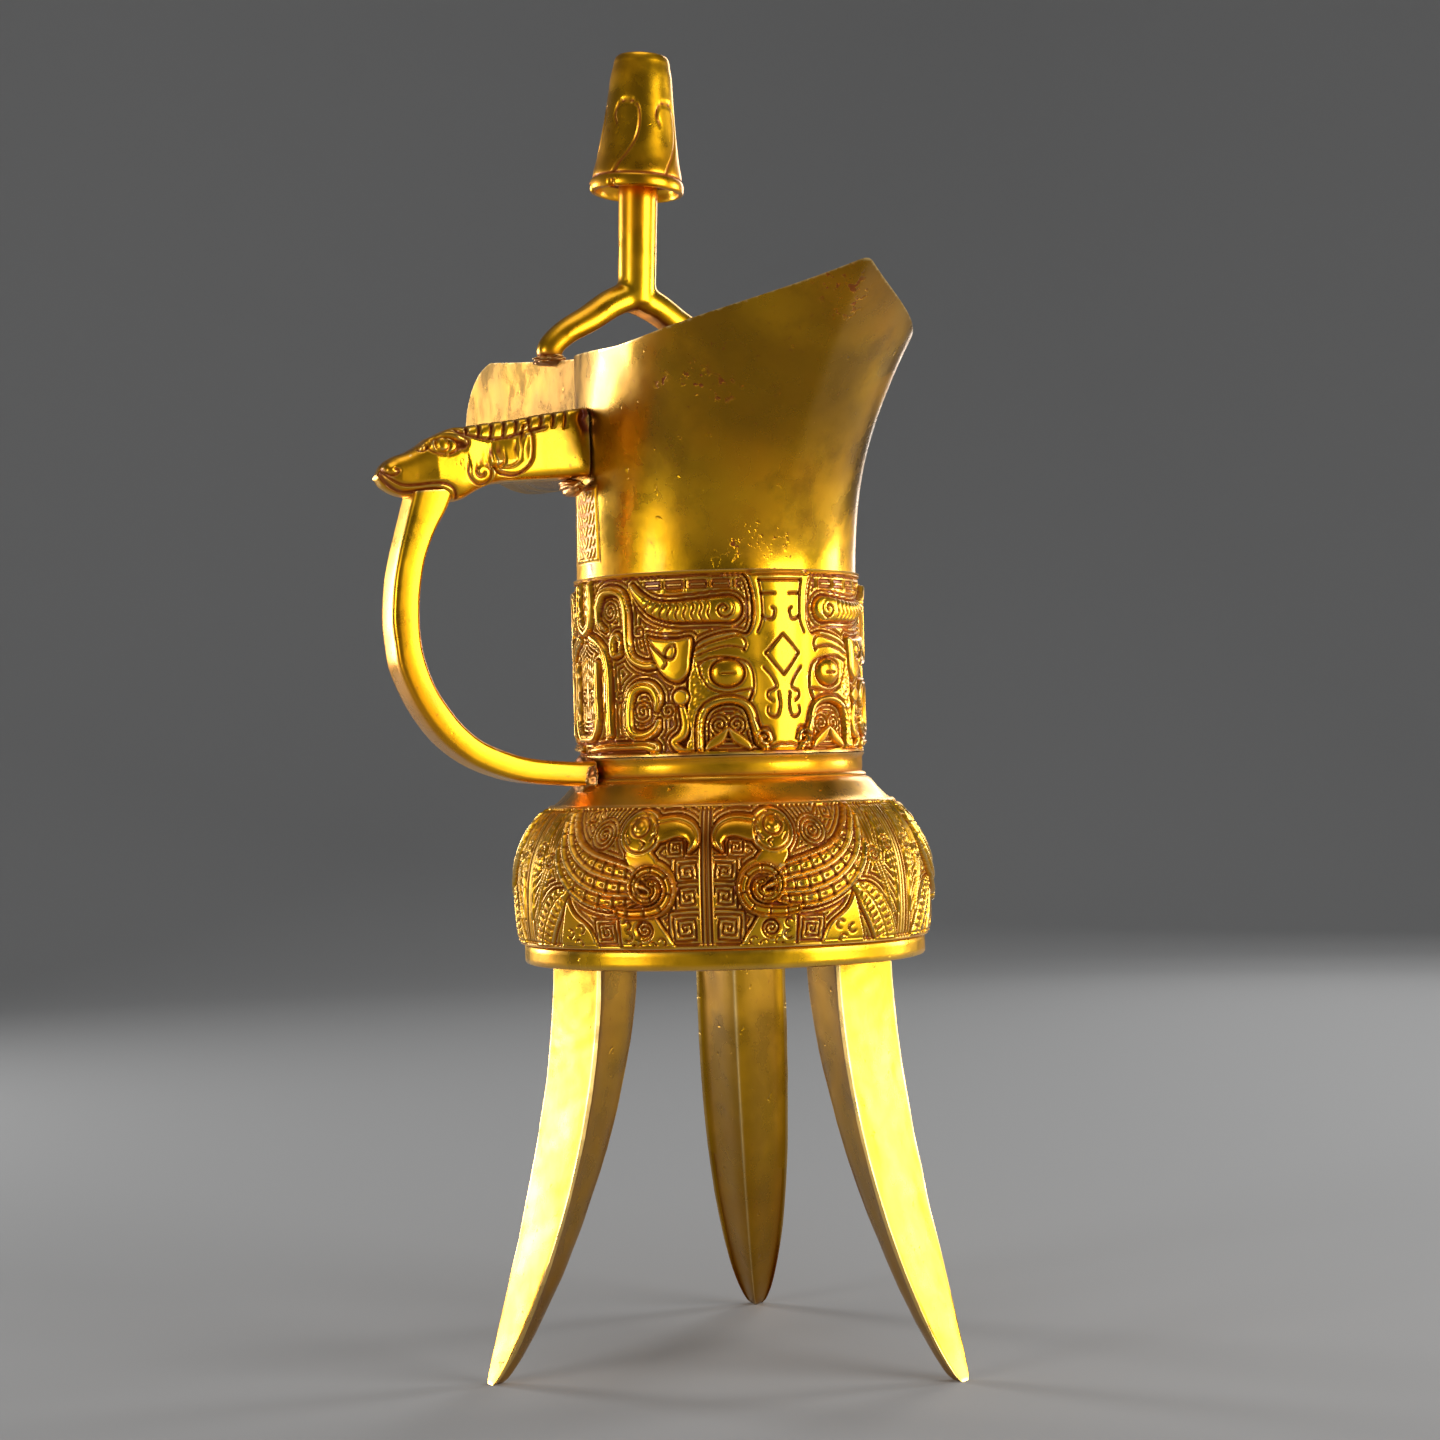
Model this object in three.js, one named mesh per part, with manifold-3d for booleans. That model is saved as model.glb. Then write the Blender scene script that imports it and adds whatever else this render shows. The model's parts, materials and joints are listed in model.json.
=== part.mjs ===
// Gilt bronze tripod cup: a ritual pouring cup on three blade legs, with a spout, a pointed tail,
// an animal-head handle and a forked post with a bell-shaped cap. Millimetres, +Z up.
// The body stands on a vertical axis. The tail points to +X, the spout to -X, the handle to -Y.
import * as THREE from "three";
import { mergeVertices } from "three/addons/utils/BufferGeometryUtils.js";
import Module from "manifold-3d";

const wasm = await Module();
wasm.setup();

// Heights of the vessel's storeys, from the ground up
const LEG_HEIGHT = 74.2;
const BASE_BAND_HEIGHT = 3.8;
const BELLY_HEIGHT = 25.2;
const SHOULDER_HEIGHT = 4.5;
const NECK_HEIGHT = 4.1;
const MASK_BAND_HEIGHT = 33.0;
const RIM_RISE = 40.1; // from the mask band up to the lowest point of the rim

// Radii of the body's outside, without the carving
const BASE_RADIUS = 37.1;
const BELLY_RADIUS = 37.7;
const BELLY_TOP_RADIUS = 31.4;
const SHOULDER_TOP_RADIUS = 27.2;
const NECK_RADIUS = 26.5;
const MASK_BAND_RADIUS = 26.1;
const BELLY_CORNER_SHARE = 0.03; // how far the belly swells over each leg and draws in between

// Walls and floor
const WALL = 2.2;
const FLOOR = 4.6;

// Mouth: a leaf in plan, which ends in the tail and opens into the spout
const TAIL_REACH = 64.1;
const MOUTH_HALF_WIDTH = 27.8;
const MOUTH_WIDEST_X = 18.4;
const MOUTH_BACK_REACH = 34.0;
const TAIL_RISE = 9.6; // the tail's tip above the lowest point of the rim
const TAIL_BLUNTNESS = 2.9; // 1 is a straight wedge, and more is a blunter leaf
const FLARE_POWER = 1.6;
const FLARE_HEIGHT_SHARE = 1.1; // the flare is full at this share of the rim's rise

// Spout: a trough with a round bottom
const SPOUT_REACH = 96.0;
const SPOUT_ROOT_HALF_WIDTH = 18.3;
const SPOUT_TIP_HALF_WIDTH = 14.0;
const SPOUT_TIP_BOTTOM = 170.0;
const SPOUT_ROOT_BOTTOM = 164.0;
const SPOUT_RISE = 10.8;
const SPOUT_TIP_ROUNDING = 19.0;
const RIM_CUT_OVERRUN = 0.788; // the rim's cut runs on past the tail's tip by this share of the tail
const RIM_CUT_MARGIN = 12.0; // the body is made this much too high, and the rim is cut from it

// Legs: blades with a flat outer face and a ridge that points inwards
const LEG_ANGLES = [-90, 30, 150];
const LEG_ROOT_RADIUS = 31.0;
const LEG_TIP_RADIUS = 49.1;
const LEG_WIDTH = 18.0;
const LEG_DEPTH = 13.2;
const LEG_FOOT_WIDTH = 2.4;
const LEG_FOOT_DEPTH = 2.6;
const LEG_CURVE_POWER = 1.75;

// Handle: a strap that bows out from the neck and ends in an animal's head
const STRAP_WIDTH = 8.0;
const STRAP_BOW_REACH = 62.1;
const HEAD_REACH = 66.4;
const HEAD_HALF_WIDTH = 4.8;
const HEAD_WALL_TOP = 176.2;
const HEAD_DEPTH = 17.4; // from the top edge at the wall down to the lowest point of the jaw
const STRAP_THIN = 3.6;
const STRAP_THICK = 5.8;

// Forked post
const POST_X = -36.0;
const FORK_HALF_SPAN = 18.0;
const FORK_ARM_RADIUS = 3.1;
const FORK_RISE = 13.0; // from the rim to the middle of the fork
const ROD_RADIUS = 3.7;
const CAP_HEIGHT = 27.5;
const CAP_TOP_RADIUS = 5.6;
const CAP_SKIRT_RADIUS = 9.4;
const POST_HEIGHT = 61.1; // from the rim under the fork to the top of the cap
const POST_LEAN = new THREE.Vector2(0.028, 0.061); // sideways run of the post for each millimetre up

// Carving
const BIRD_RISE = 1.0;
const SCROLL_RISE = 1.5;
const MASK_RISE = 1.1;
const MASK_ANGLES = [0, 180];
const CARVING_SINK = 0.7; // how far a raised stroke reaches into the wall

// Clearance that keeps the soldered pieces apart
const JOINT_GAP = 0.3;

// Fineness of the faceted surfaces
const ROUND_STEPS = 36;
const INSIDE_STEPS = 24;
const NARROW_STROKE = 0.07; // a stroke of at most this share of its band is a plain ridge

// Levels that follow from the heights
const BASE_Z = LEG_HEIGHT;
const BELLY_Z = BASE_Z + BASE_BAND_HEIGHT;
const SHOULDER_Z = BELLY_Z + BELLY_HEIGHT;
const NECK_Z = SHOULDER_Z + SHOULDER_HEIGHT;
const MASK_Z = NECK_Z + NECK_HEIGHT;
const UPPER_Z = MASK_Z + MASK_BAND_HEIGHT;
const RIM_LOW_Z = UPPER_Z + RIM_RISE;
const CUT_TOP_Z = RIM_LOW_Z + Math.max(TAIL_RISE, SPOUT_RISE) + RIM_CUT_MARGIN;

const radians = THREE.MathUtils.degToRad;
const lerp = THREE.MathUtils.lerp;
const clamp = THREE.MathUtils.clamp;

// A closed solid from rings of points, each ring in the same sense and with as many points.
function loft(rings) {
  const count = rings[0].length;
  const positions = rings.flat().flatMap((p) => [p.x, p.y, p.z]);
  const index = [];
  for (let r = 0; r + 1 < rings.length; r++) {
    for (let i = 0; i < count; i++) {
      const a = r * count + i;
      const b = r * count + ((i + 1) % count);
      index.push(a, b, a + count, b, b + count, a + count);
    }
  }
  for (const [ring, turn] of [
    [0, -1],
    [rings.length - 1, 1],
  ]) {
    const centre = rings[ring]
      .reduce((sum, p) => sum.add(p), new THREE.Vector3())
      .divideScalar(count);
    const c = positions.length / 3;
    positions.push(centre.x, centre.y, centre.z);
    for (let i = 0; i < count; i++) {
      const a = ring * count + i;
      const b = ring * count + ((i + 1) % count);
      index.push(...(turn > 0 ? [a, b, c] : [b, a, c]));
    }
  }
  const geometry = new THREE.BufferGeometry();
  geometry.setAttribute("position", new THREE.Float32BufferAttribute(positions, 3));
  geometry.setIndex(index);
  return geometry;
}

// A geometry as a solid that can be joined and cut.
function solid(geometry) {
  const bare = geometry.clone();
  bare.deleteAttribute("normal");
  bare.deleteAttribute("uv");
  const merged = mergeVertices(bare, 1e-4);
  const made = new wasm.Manifold(
    new wasm.Mesh({
      numProp: 3,
      vertProperties: new Float32Array(merged.attributes.position.array),
      triVerts: new Uint32Array(merged.index.array),
    }),
  );
  if (made.volume() >= 0) return made;
  const turned = new Uint32Array(merged.index.array);
  for (let i = 0; i < turned.length; i += 3) {
    [turned[i + 1], turned[i + 2]] = [turned[i + 2], turned[i + 1]];
  }
  return new wasm.Manifold(
    new wasm.Mesh({
      numProp: 3,
      vertProperties: new Float32Array(merged.attributes.position.array),
      triVerts: turned,
    }),
  );
}

// All solids joined to one, in pairs, so that no join handles more faces than it must.
function joined(solids) {
  let rest = [...solids];
  while (rest.length > 1) {
    const next = [];
    for (let i = 0; i < rest.length; i += 2) {
      next.push(i + 1 < rest.length ? rest[i].add(rest[i + 1]) : rest[i]);
    }
    rest = next;
  }
  return rest[0];
}

function namedMesh(name, made, material) {
  const { vertProperties, triVerts } = made.getMesh();
  const geometry = new THREE.BufferGeometry();
  geometry.setAttribute("position", new THREE.BufferAttribute(vertProperties, 3));
  geometry.setIndex(new THREE.BufferAttribute(triVerts, 1));
  geometry.computeVertexNormals();
  const mesh = new THREE.Mesh(geometry, material);
  mesh.name = name;
  return mesh;
}

// Height of the rim over any x: a saddle that is lowest at the mouth's widest place.
function rimHeight(x) {
  if (x > MOUTH_WIDEST_X) {
    const share = (x - MOUTH_WIDEST_X) / (TAIL_REACH - MOUTH_WIDEST_X);
    return RIM_LOW_Z + TAIL_RISE * share ** 2;
  }
  const share = (MOUTH_WIDEST_X - x) / (MOUTH_WIDEST_X + SPOUT_REACH - SPOUT_TIP_ROUNDING);
  return RIM_LOW_Z + SPOUT_RISE * share ** 1.25;
}

// Share of the flare at a height: 0 at the mask band, 1 where the mouth's leaf is full.
function flareAt(z) {
  return ((z - UPPER_Z) / (RIM_RISE * FLARE_HEIGHT_SHARE)) ** FLARE_POWER;
}

// Half width of the full leaf at x. The tail reaches on past it, as the flare goes on.
function leafHalfWidth(x) {
  const fullReach =
    MASK_BAND_RADIUS + (TAIL_REACH - MASK_BAND_RADIUS) / flareAt(RIM_LOW_Z + TAIL_RISE);
  if (x > MOUTH_WIDEST_X) {
    const share = (x - MOUTH_WIDEST_X) / (fullReach - MOUTH_WIDEST_X);
    return MOUTH_HALF_WIDTH * (1 - share ** TAIL_BLUNTNESS);
  }
  const share = Math.min((MOUTH_WIDEST_X - x) / (MOUTH_WIDEST_X + MOUTH_BACK_REACH), 1);
  return MOUTH_HALF_WIDTH * Math.sqrt(1 - share ** 2);
}

// Plan radius of the full leaf, by angle from the tail: where a ray leaves the leaf.
function leafRadius(theta) {
  let inside = 0;
  let outside = 2 * TAIL_REACH;
  for (let halving = 0; halving < 40; halving++) {
    const middle = (inside + outside) / 2;
    const within = Math.abs(middle * Math.sin(theta)) < leafHalfWidth(middle * Math.cos(theta));
    if (within) inside = middle;
    else outside = middle;
  }
  return inside;
}

// Outer radius of the body at an angle (radians) and a height, without the carving.
function bodyRadius(theta, z) {
  const corner = Math.cos(3 * (theta - radians(LEG_ANGLES[0])));
  if (z < BELLY_Z) return BASE_RADIUS * (1 + 0.7 * BELLY_CORNER_SHARE * corner);
  if (z < SHOULDER_Z) {
    const share = (z - BELLY_Z) / BELLY_HEIGHT;
    const rise = clamp((share - 0.26) / 0.74, 0, 1);
    const drop = (BELLY_RADIUS - BELLY_TOP_RADIUS) * rise ** 2.8;
    const foot = 0.6 * clamp(1 - share / 0.26, 0, 1) ** 2;
    const swell = BELLY_CORNER_SHARE * (1 - 0.5 * share ** 3);
    return (BELLY_RADIUS - drop - foot) * (1 + swell * corner);
  }
  if (z < NECK_Z) {
    const share = (z - SHOULDER_Z) / SHOULDER_HEIGHT;
    const swell = 0.5 * BELLY_CORNER_SHARE * (1 - share);
    return lerp(BELLY_TOP_RADIUS, SHOULDER_TOP_RADIUS, share ** 0.8) * (1 + swell * corner);
  }
  if (z < MASK_Z) return NECK_RADIUS;
  if (z < UPPER_Z) return MASK_BAND_RADIUS;
  return lerp(MASK_BAND_RADIUS, leafRadius(theta), flareAt(z));
}

function bodyRing(z, inset, steps) {
  const ring = [];
  for (let i = 0; i < steps; i++) {
    const theta = (2 * Math.PI * i) / steps;
    const radius = bodyRadius(theta, z) - inset;
    ring.push(new THREE.Vector3(radius * Math.cos(theta), radius * Math.sin(theta), z));
  }
  return ring;
}

const STEP = 0.01; // a ledge between two storeys is this high

function bodyLevels() {
  const levels = [BASE_Z, BELLY_Z - STEP];
  for (const share of [0, 0.26, 0.6, 0.82]) levels.push(BELLY_Z + share * BELLY_HEIGHT);
  levels.push(SHOULDER_Z, SHOULDER_Z + 0.45 * SHOULDER_HEIGHT, NECK_Z - STEP, NECK_Z);
  levels.push(MASK_Z - STEP, MASK_Z, UPPER_Z - STEP);
  for (let i = 0; i <= 6; i++) levels.push(lerp(UPPER_Z, CUT_TOP_Z, i / 6));
  return levels;
}

function bodyOutside() {
  return solid(loft(bodyLevels().map((z) => bodyRing(z, 0, ROUND_STEPS))));
}

// The hollow: it follows the outside at the wall's thickness, down to a rounded floor.
function bodyInside() {
  const floorZ = BASE_Z + FLOOR;
  const rings = [
    bodyRing(floorZ, 14, INSIDE_STEPS).map((p) => p.setZ(floorZ)),
    bodyRing(floorZ + 3, WALL + 3.2, INSIDE_STEPS),
    bodyRing(floorZ + 9, WALL, INSIDE_STEPS),
    bodyRing(BELLY_Z + 0.62 * BELLY_HEIGHT, WALL, INSIDE_STEPS),
    bodyRing(BELLY_Z + 0.85 * BELLY_HEIGHT, WALL + 0.4, INSIDE_STEPS),
    bodyRing(NECK_Z, WALL + 0.2, INSIDE_STEPS).map((p) => p.setZ(NECK_Z)),
    bodyRing(UPPER_Z, WALL, INSIDE_STEPS),
  ];
  for (let i = 1; i <= 6; i++) {
    rings.push(bodyRing(lerp(UPPER_Z, CUT_TOP_Z + 1, i / 6), WALL, INSIDE_STEPS));
  }
  return solid(loft(rings));
}

// The spout's trough, solid, with its section drawn in by an inset on every side.
function trough(inset) {
  const rootX = -0.55 * MASK_BAND_RADIUS;
  const stations = 8;
  const sides = 10;
  const rings = [];
  for (let s = 0; s <= stations; s++) {
    const share = s / stations;
    const x = lerp(rootX, -SPOUT_REACH - 2, share);
    const half = lerp(SPOUT_ROOT_HALF_WIDTH + 1, SPOUT_TIP_HALF_WIDTH, share ** 0.7) - inset;
    const rootDrop = 16 * (1 - share) ** 6;
    const low = lerp(SPOUT_ROOT_BOTTOM, SPOUT_TIP_BOTTOM, share ** 0.6) - rootDrop + inset;
    const top = CUT_TOP_Z + (inset > 0 ? 1 : 0);
    const ring = [new THREE.Vector3(x, half, top), new THREE.Vector3(x, -half, top)];
    for (let i = 0; i <= sides; i++) {
      const angle = Math.PI * (i / sides);
      ring.push(
        new THREE.Vector3(x, -half * Math.cos(angle), low + half * (1 - Math.sin(angle))),
      );
    }
    rings.push(ring);
  }
  return solid(loft(rings));
}

// What lies above the rim and past the spout's tip, as a block to cut away.
function aboveRim() {
  const wide = 2 * MOUTH_HALF_WIDTH + 40;
  const shape = new THREE.Shape();
  const endX = TAIL_REACH + RIM_CUT_OVERRUN * (TAIL_REACH - MOUTH_WIDEST_X);
  shape.moveTo(endX, rimHeight(endX));
  const arcX = -SPOUT_REACH + SPOUT_TIP_ROUNDING;
  const steps = 28;
  for (let i = 1; i <= steps; i++) {
    const x = lerp(endX, arcX, i / steps);
    shape.lineTo(x, rimHeight(x));
  }
  const tipZ = rimHeight(arcX);
  const tipDrop = 0.66 * SPOUT_TIP_ROUNDING;
  for (let i = 1; i <= 6; i++) {
    const angle = (i / 6) * (Math.PI / 2);
    shape.lineTo(
      arcX - SPOUT_TIP_ROUNDING * Math.sin(angle),
      tipZ - tipDrop * (1 - Math.cos(angle)),
    );
  }
  const farX = -SPOUT_REACH - 20;
  shape.lineTo(-SPOUT_REACH + 2, SPOUT_TIP_BOTTOM + 3);
  shape.lineTo(-SPOUT_REACH + 5, SPOUT_ROOT_BOTTOM - 4);
  shape.lineTo(farX, SPOUT_ROOT_BOTTOM - 4);
  const topZ = Math.max(CUT_TOP_Z, rimHeight(endX)) + RIM_CUT_MARGIN;
  shape.lineTo(farX, topZ);
  shape.lineTo(endX, topZ);
  const block = new THREE.ExtrudeGeometry(shape, { depth: wide, bevelEnabled: false });
  block.rotateX(Math.PI / 2);
  block.translate(0, wide / 2, 0);
  return solid(block);
}

// One blade leg along an angle, from inside the floor down to its small flat foot.
function leg(angleDegrees) {
  const angle = radians(angleDegrees);
  const out = new THREE.Vector3(Math.cos(angle), Math.sin(angle), 0);
  const side = new THREE.Vector3(-Math.sin(angle), Math.cos(angle), 0);
  const stations = 9;
  const rings = [];
  for (let s = -1; s <= stations; s++) {
    const share = Math.max(s, 0) / stations;
    const z = s < 0 ? LEG_HEIGHT + 0.5 * FLOOR : LEG_HEIGHT * (1 - share);
    const radius = lerp(LEG_ROOT_RADIUS, LEG_TIP_RADIUS, share ** LEG_CURVE_POWER);
    const half = lerp(LEG_FOOT_WIDTH, LEG_WIDTH, (1 - share ** 3) ** 0.68) / 2;
    const depth = lerp(LEG_FOOT_DEPTH, LEG_DEPTH, (1 - share ** 1.35) ** 0.6);
    const at = (r, t) =>
      out.clone().multiplyScalar(r).addScaledVector(side, t).setZ(z);
    rings.push([at(radius, -half), at(radius, half), at(radius - depth, 0)]);
  }
  return solid(loft(rings));
}

// A raised stroke that follows the body's surface. The points are [degrees, height share] from
// the motif's centre line, each with a half width as a share of the band's height. Mirror is 1 or -1.
function stroke({ points, rise }, { centre, mirror, low, height }) {
  const spanRadius = bodyRadius(radians(centre), low + 0.4 * height);
  const toArc = (degrees) => radians(degrees) * spanRadius;
  const path = new THREE.CatmullRomCurve3(
    points.map(
      ([degrees, share, half]) =>
        new THREE.Vector3(toArc(degrees), share * height, half * height),
    ),
  );
  const rings = [];
  const count = Math.max(points.length, 3);
  const narrow = points.every(([, , half]) => half <= NARROW_STROKE);
  for (let i = 0; i <= count; i++) {
    const p = path.getPoint(i / count);
    const t = path.getTangent(i / count);
    const across = new THREE.Vector2(-t.y, t.x).normalize();
    const half = Math.max(p.z, 0.005 * height);
    const place = (offset, lift) => {
      const arc = p.x + across.x * offset;
      const z = clamp(low + p.y + across.y * offset, low + 0.2, low + height - 0.2);
      const theta = radians(centre) + (mirror * arc) / spanRadius;
      const radius = bodyRadius(theta, z) + lift;
      return new THREE.Vector3(radius * Math.cos(theta), radius * Math.sin(theta), z);
    };
    const crown = narrow ? [place(0, rise)] : [place(-0.8 * half, rise), place(0.8 * half, rise)];
    rings.push([place(-half, -CARVING_SINK), ...crown, place(half, -CARVING_SINK)]);
  }
  return solid(loft(rings));
}

// A low round boss on the body's surface, such as an eye or a head.
function boss({ at: [degrees, share], size: [halfWide, halfHigh], rise }, place) {
  const sides = 7;
  const theta0 = radians(place.centre + place.mirror * degrees);
  const z0 = place.low + share * place.height;
  const wide = halfWide * place.height;
  const high = halfHigh * place.height;
  const ringAt = (scale, lift) => {
    const ring = [];
    for (let i = 0; i < sides; i++) {
      const turn = (2 * Math.PI * i) / sides;
      const z = z0 + high * scale * Math.sin(turn);
      const theta = theta0 + (wide * scale * Math.cos(turn)) / bodyRadius(theta0, z0);
      const radius = bodyRadius(theta, z) + lift;
      ring.push(new THREE.Vector3(radius * Math.cos(theta), radius * Math.sin(theta), z));
    }
    return ring;
  };
  return solid(loft([ringAt(1, -CARVING_SINK), ringAt(1, 0.45 * rise), ringAt(0.6, rise)]));
}

// The wing's scroll: radii and half width as shares of the belly's height, turns in degrees.
const SCROLL = { at: [15.7, 0.42], outer: 0.159, inner: 0.06, start: 215, turn: 414, half: 0.046 };

// A spiral stroke from its outer radius in to the inner one.
function spiralPoints({ at: [degrees, share], outer, inner, start, turn, half }, band) {
  const count = 5;
  const points = [];
  for (let i = 0; i <= count; i++) {
    const angle = radians(start + (turn * i) / count);
    const radius = lerp(outer, inner, i / count) * band.height;
    const degreesPerMm = 180 / (Math.PI * band.radius);
    points.push([
      degrees + radius * Math.cos(angle) * degreesPerMm,
      share + (radius * Math.sin(angle)) / band.height,
      lerp(half, half * 0.6, i / count),
    ]);
  }
  return points;
}

// The owl-like birds of the belly: degrees run from the line between two beaks to the tails.
function birdStrokes() {
  const band = { radius: BELLY_RADIUS, height: BELLY_HEIGHT };
  const scroll = spiralPoints(SCROLL, band);
  return [
    {
      points: [[17, 0.84, 0.075], [9, 0.82, 0.075], [4.2, 0.74, 0.052], [3.6, 0.62, 0.016]],
      rise: BIRD_RISE,
    },
    { points: scroll, rise: SCROLL_RISE },
    {
      points: [[11, 0.3, 0.056], [22, 0.22, 0.111], [36, 0.38, 0.167], [44, 0.66, 0.111], [52, 0.95, 0.024]],
      rise: BIRD_RISE,
    },
    { points: [[41, 0.36, 0.063], [47, 0.22, 0.091], [55.5, 0.04, 0.075]], rise: 0.7 * BIRD_RISE },
    { points: [[54, 0.3, 0.056], [54.8, 0.55, 0.087], [55.4, 0.8, 0.063]], rise: 0.7 * BIRD_RISE },
    { points: [[24, 0.13, 0.067], [19, 0.1, 0.063], [13, 0.04, 0.04]], rise: 0.8 * BIRD_RISE },
  ];
}

const BIRD_BOSSES = [{ at: [18.9, 0.8], size: [0.159, 0.155], rise: 1.3 * BIRD_RISE }];

// Half of a monster mask on the waist band: degrees run from the nose to the join of two masks.
function maskStrokes() {
  return [
    {
      points: [[14.5, 0.8, 0.079], [30, 0.8, 0.097], [45, 0.84, 0.067], [58.5, 0.95, 0.015]],
      rise: MASK_RISE,
    },
    { points: [[41, 0.62, 0.024], [47, 0.54, 0.061], [52, 0.62, 0.018]], rise: MASK_RISE },
    {
      points: [[8.5, 0.07, 0.039], [14, 0.27, 0.039], [24, 0.3, 0.039], [32, 0.08, 0.033]],
      rise: 0.9 * MASK_RISE,
    },
    {
      points: [[38, 0.42, 0.039], [39, 0.24, 0.07], [33.5, 0.1, 0.042], [44, 0.05, 0.036]],
      rise: MASK_RISE,
    },
    {
      points: [[56, 0.62, 0.045], [66, 0.76, 0.061], [72, 0.5, 0.058], [60, 0.36, 0.055], [55, 0.1, 0.036]],
      rise: MASK_RISE,
    },
    {
      points: [[68, 0.1, 0.039], [76, 0.22, 0.055], [79, 0.55, 0.055], [86.5, 0.72, 0.042]],
      rise: MASK_RISE,
    },
  ];
}

const MASK_BOSSES = [{ at: [21.8, 0.45], size: [0.079, 0.061], rise: 1.2 * MASK_RISE }];

const MASK_NOSE = { points: [[0, 0.1, 0.067], [0, 0.45, 0.079], [0, 0.94, 0.112]], rise: MASK_RISE };

function carving() {
  const pieces = [];
  for (const legAngle of LEG_ANGLES) {
    for (const mirror of [1, -1]) {
      const place = { centre: legAngle + 60, mirror, low: BELLY_Z, height: BELLY_HEIGHT };
      for (const line of birdStrokes()) pieces.push(stroke(line, place));
      for (const round of BIRD_BOSSES) pieces.push(boss(round, place));
    }
  }
  for (const centre of MASK_ANGLES) {
    for (const mirror of [1, -1]) {
      const place = { centre, mirror, low: MASK_Z, height: MASK_BAND_HEIGHT };
      for (const line of maskStrokes()) pieces.push(stroke(line, place));
      for (const round of MASK_BOSSES) pieces.push(boss(round, place));
    }
    const place = { centre, mirror: 1, low: MASK_Z, height: MASK_BAND_HEIGHT };
    pieces.push(stroke(MASK_NOSE, place));
  }
  return joined(pieces);
}

function vesselSolid() {
  const shell = bodyOutside().add(trough(0));
  const carved = shell.add(carving());
  const hollow = bodyInside().add(trough(WALL));
  const open = carved.subtract(hollow).subtract(aboveRim());
  return joined([open, ...LEG_ANGLES.map(leg)]);
}

// An eight-sided section with soft corners, in the plane across a direction.
function section(centre, up, side, halfHigh, halfWide, softness) {
  const ring = [];
  for (const [h, w] of [
    [1, -softness],
    [1, softness],
    [softness, 1],
    [-softness, 1],
    [-1, softness],
    [-1, -softness],
    [-softness, -1],
    [softness, -1],
  ]) {
    ring.push(
      centre.clone().addScaledVector(up, halfHigh * h).addScaledVector(side, halfWide * w),
    );
  }
  return ring;
}

const handlePoint = (radius, z, across = 0) => new THREE.Vector3(across, -radius, z);

// The strap's bow, from the neck out and up into the jaw of the head.
function strap() {
  const low = MASK_Z - 0.3 * STRAP_WIDTH;
  const reach = STRAP_BOW_REACH;
  const jaw = HEAD_WALL_TOP - 0.8 * HEAD_DEPTH;
  const root = NECK_RADIUS + JOINT_GAP;
  const path = new THREE.CatmullRomCurve3([
    handlePoint(root, low - 0.04 * STRAP_WIDTH),
    handlePoint(lerp(root, reach, 0.38), low + 0.1 * STRAP_WIDTH),
    handlePoint(lerp(root, reach, 0.76), low + 0.14 * (jaw - low)),
    handlePoint(lerp(root, reach, 0.955), low + 0.34 * (jaw - low)),
    handlePoint(reach, low + 0.56 * (jaw - low)),
    handlePoint(lerp(root, reach, 0.975), low + 0.78 * (jaw - low)),
    handlePoint(lerp(root, reach, 0.86), jaw),
  ]);
  const steps = 16;
  const side = new THREE.Vector3(1, 0, 0);
  const rings = [];
  for (let i = 0; i <= steps; i++) {
    const share = i / steps;
    const centre = path.getPoint(share);
    const tangent = path.getTangent(share);
    const up = new THREE.Vector3().crossVectors(side, tangent).normalize();
    const halfHigh = lerp(STRAP_THIN, STRAP_THICK, clamp(share / 0.45, 0, 1)) / 2;
    rings.push(section(centre, up, side, halfHigh, STRAP_WIDTH / 2, 0.78));
  }
  return solid(loft(rings));
}

// The head's stations: share of its length from the wall, top and underside below the wall's top
// edge as shares of its depth, and half width as a share of the widest.
const HEAD_STATIONS = [
  [0, 0, 0.741, 0.86],
  [0.22, 0.098, 0.782, 0.86],
  [0.44, 0.19, 0.833, 0.92],
  [0.55, 0.23, 0.914, 1],
  [0.66, 0.264, 1, 1],
  [0.75, 0.374, 0.994, 0.9],
  [0.86, 0.517, 0.989, 0.76],
  [0.93, 0.575, 0.971, 0.74],
  [0.98, 0.672, 0.879, 0.6],
  [1, 0.736, 0.839, 0.3],
];

function headSolid() {
  const wall = bodyRadius(radians(-90), HEAD_WALL_TOP) - 2 * JOINT_GAP;
  const up = new THREE.Vector3(0, 0, 1);
  const side = new THREE.Vector3(1, 0, 0);
  const rings = HEAD_STATIONS.map(([share, topDrop, lowDrop, width]) => {
    const middle = HEAD_WALL_TOP - (HEAD_DEPTH * (topDrop + lowDrop)) / 2;
    const centre = handlePoint(lerp(wall, HEAD_REACH, share), middle);
    const halfHigh = (HEAD_DEPTH * (lowDrop - topDrop)) / 2;
    return section(centre, up, side, halfHigh, HEAD_HALF_WIDTH * width, 0.66);
  });
  return solid(loft(rings));
}

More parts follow.
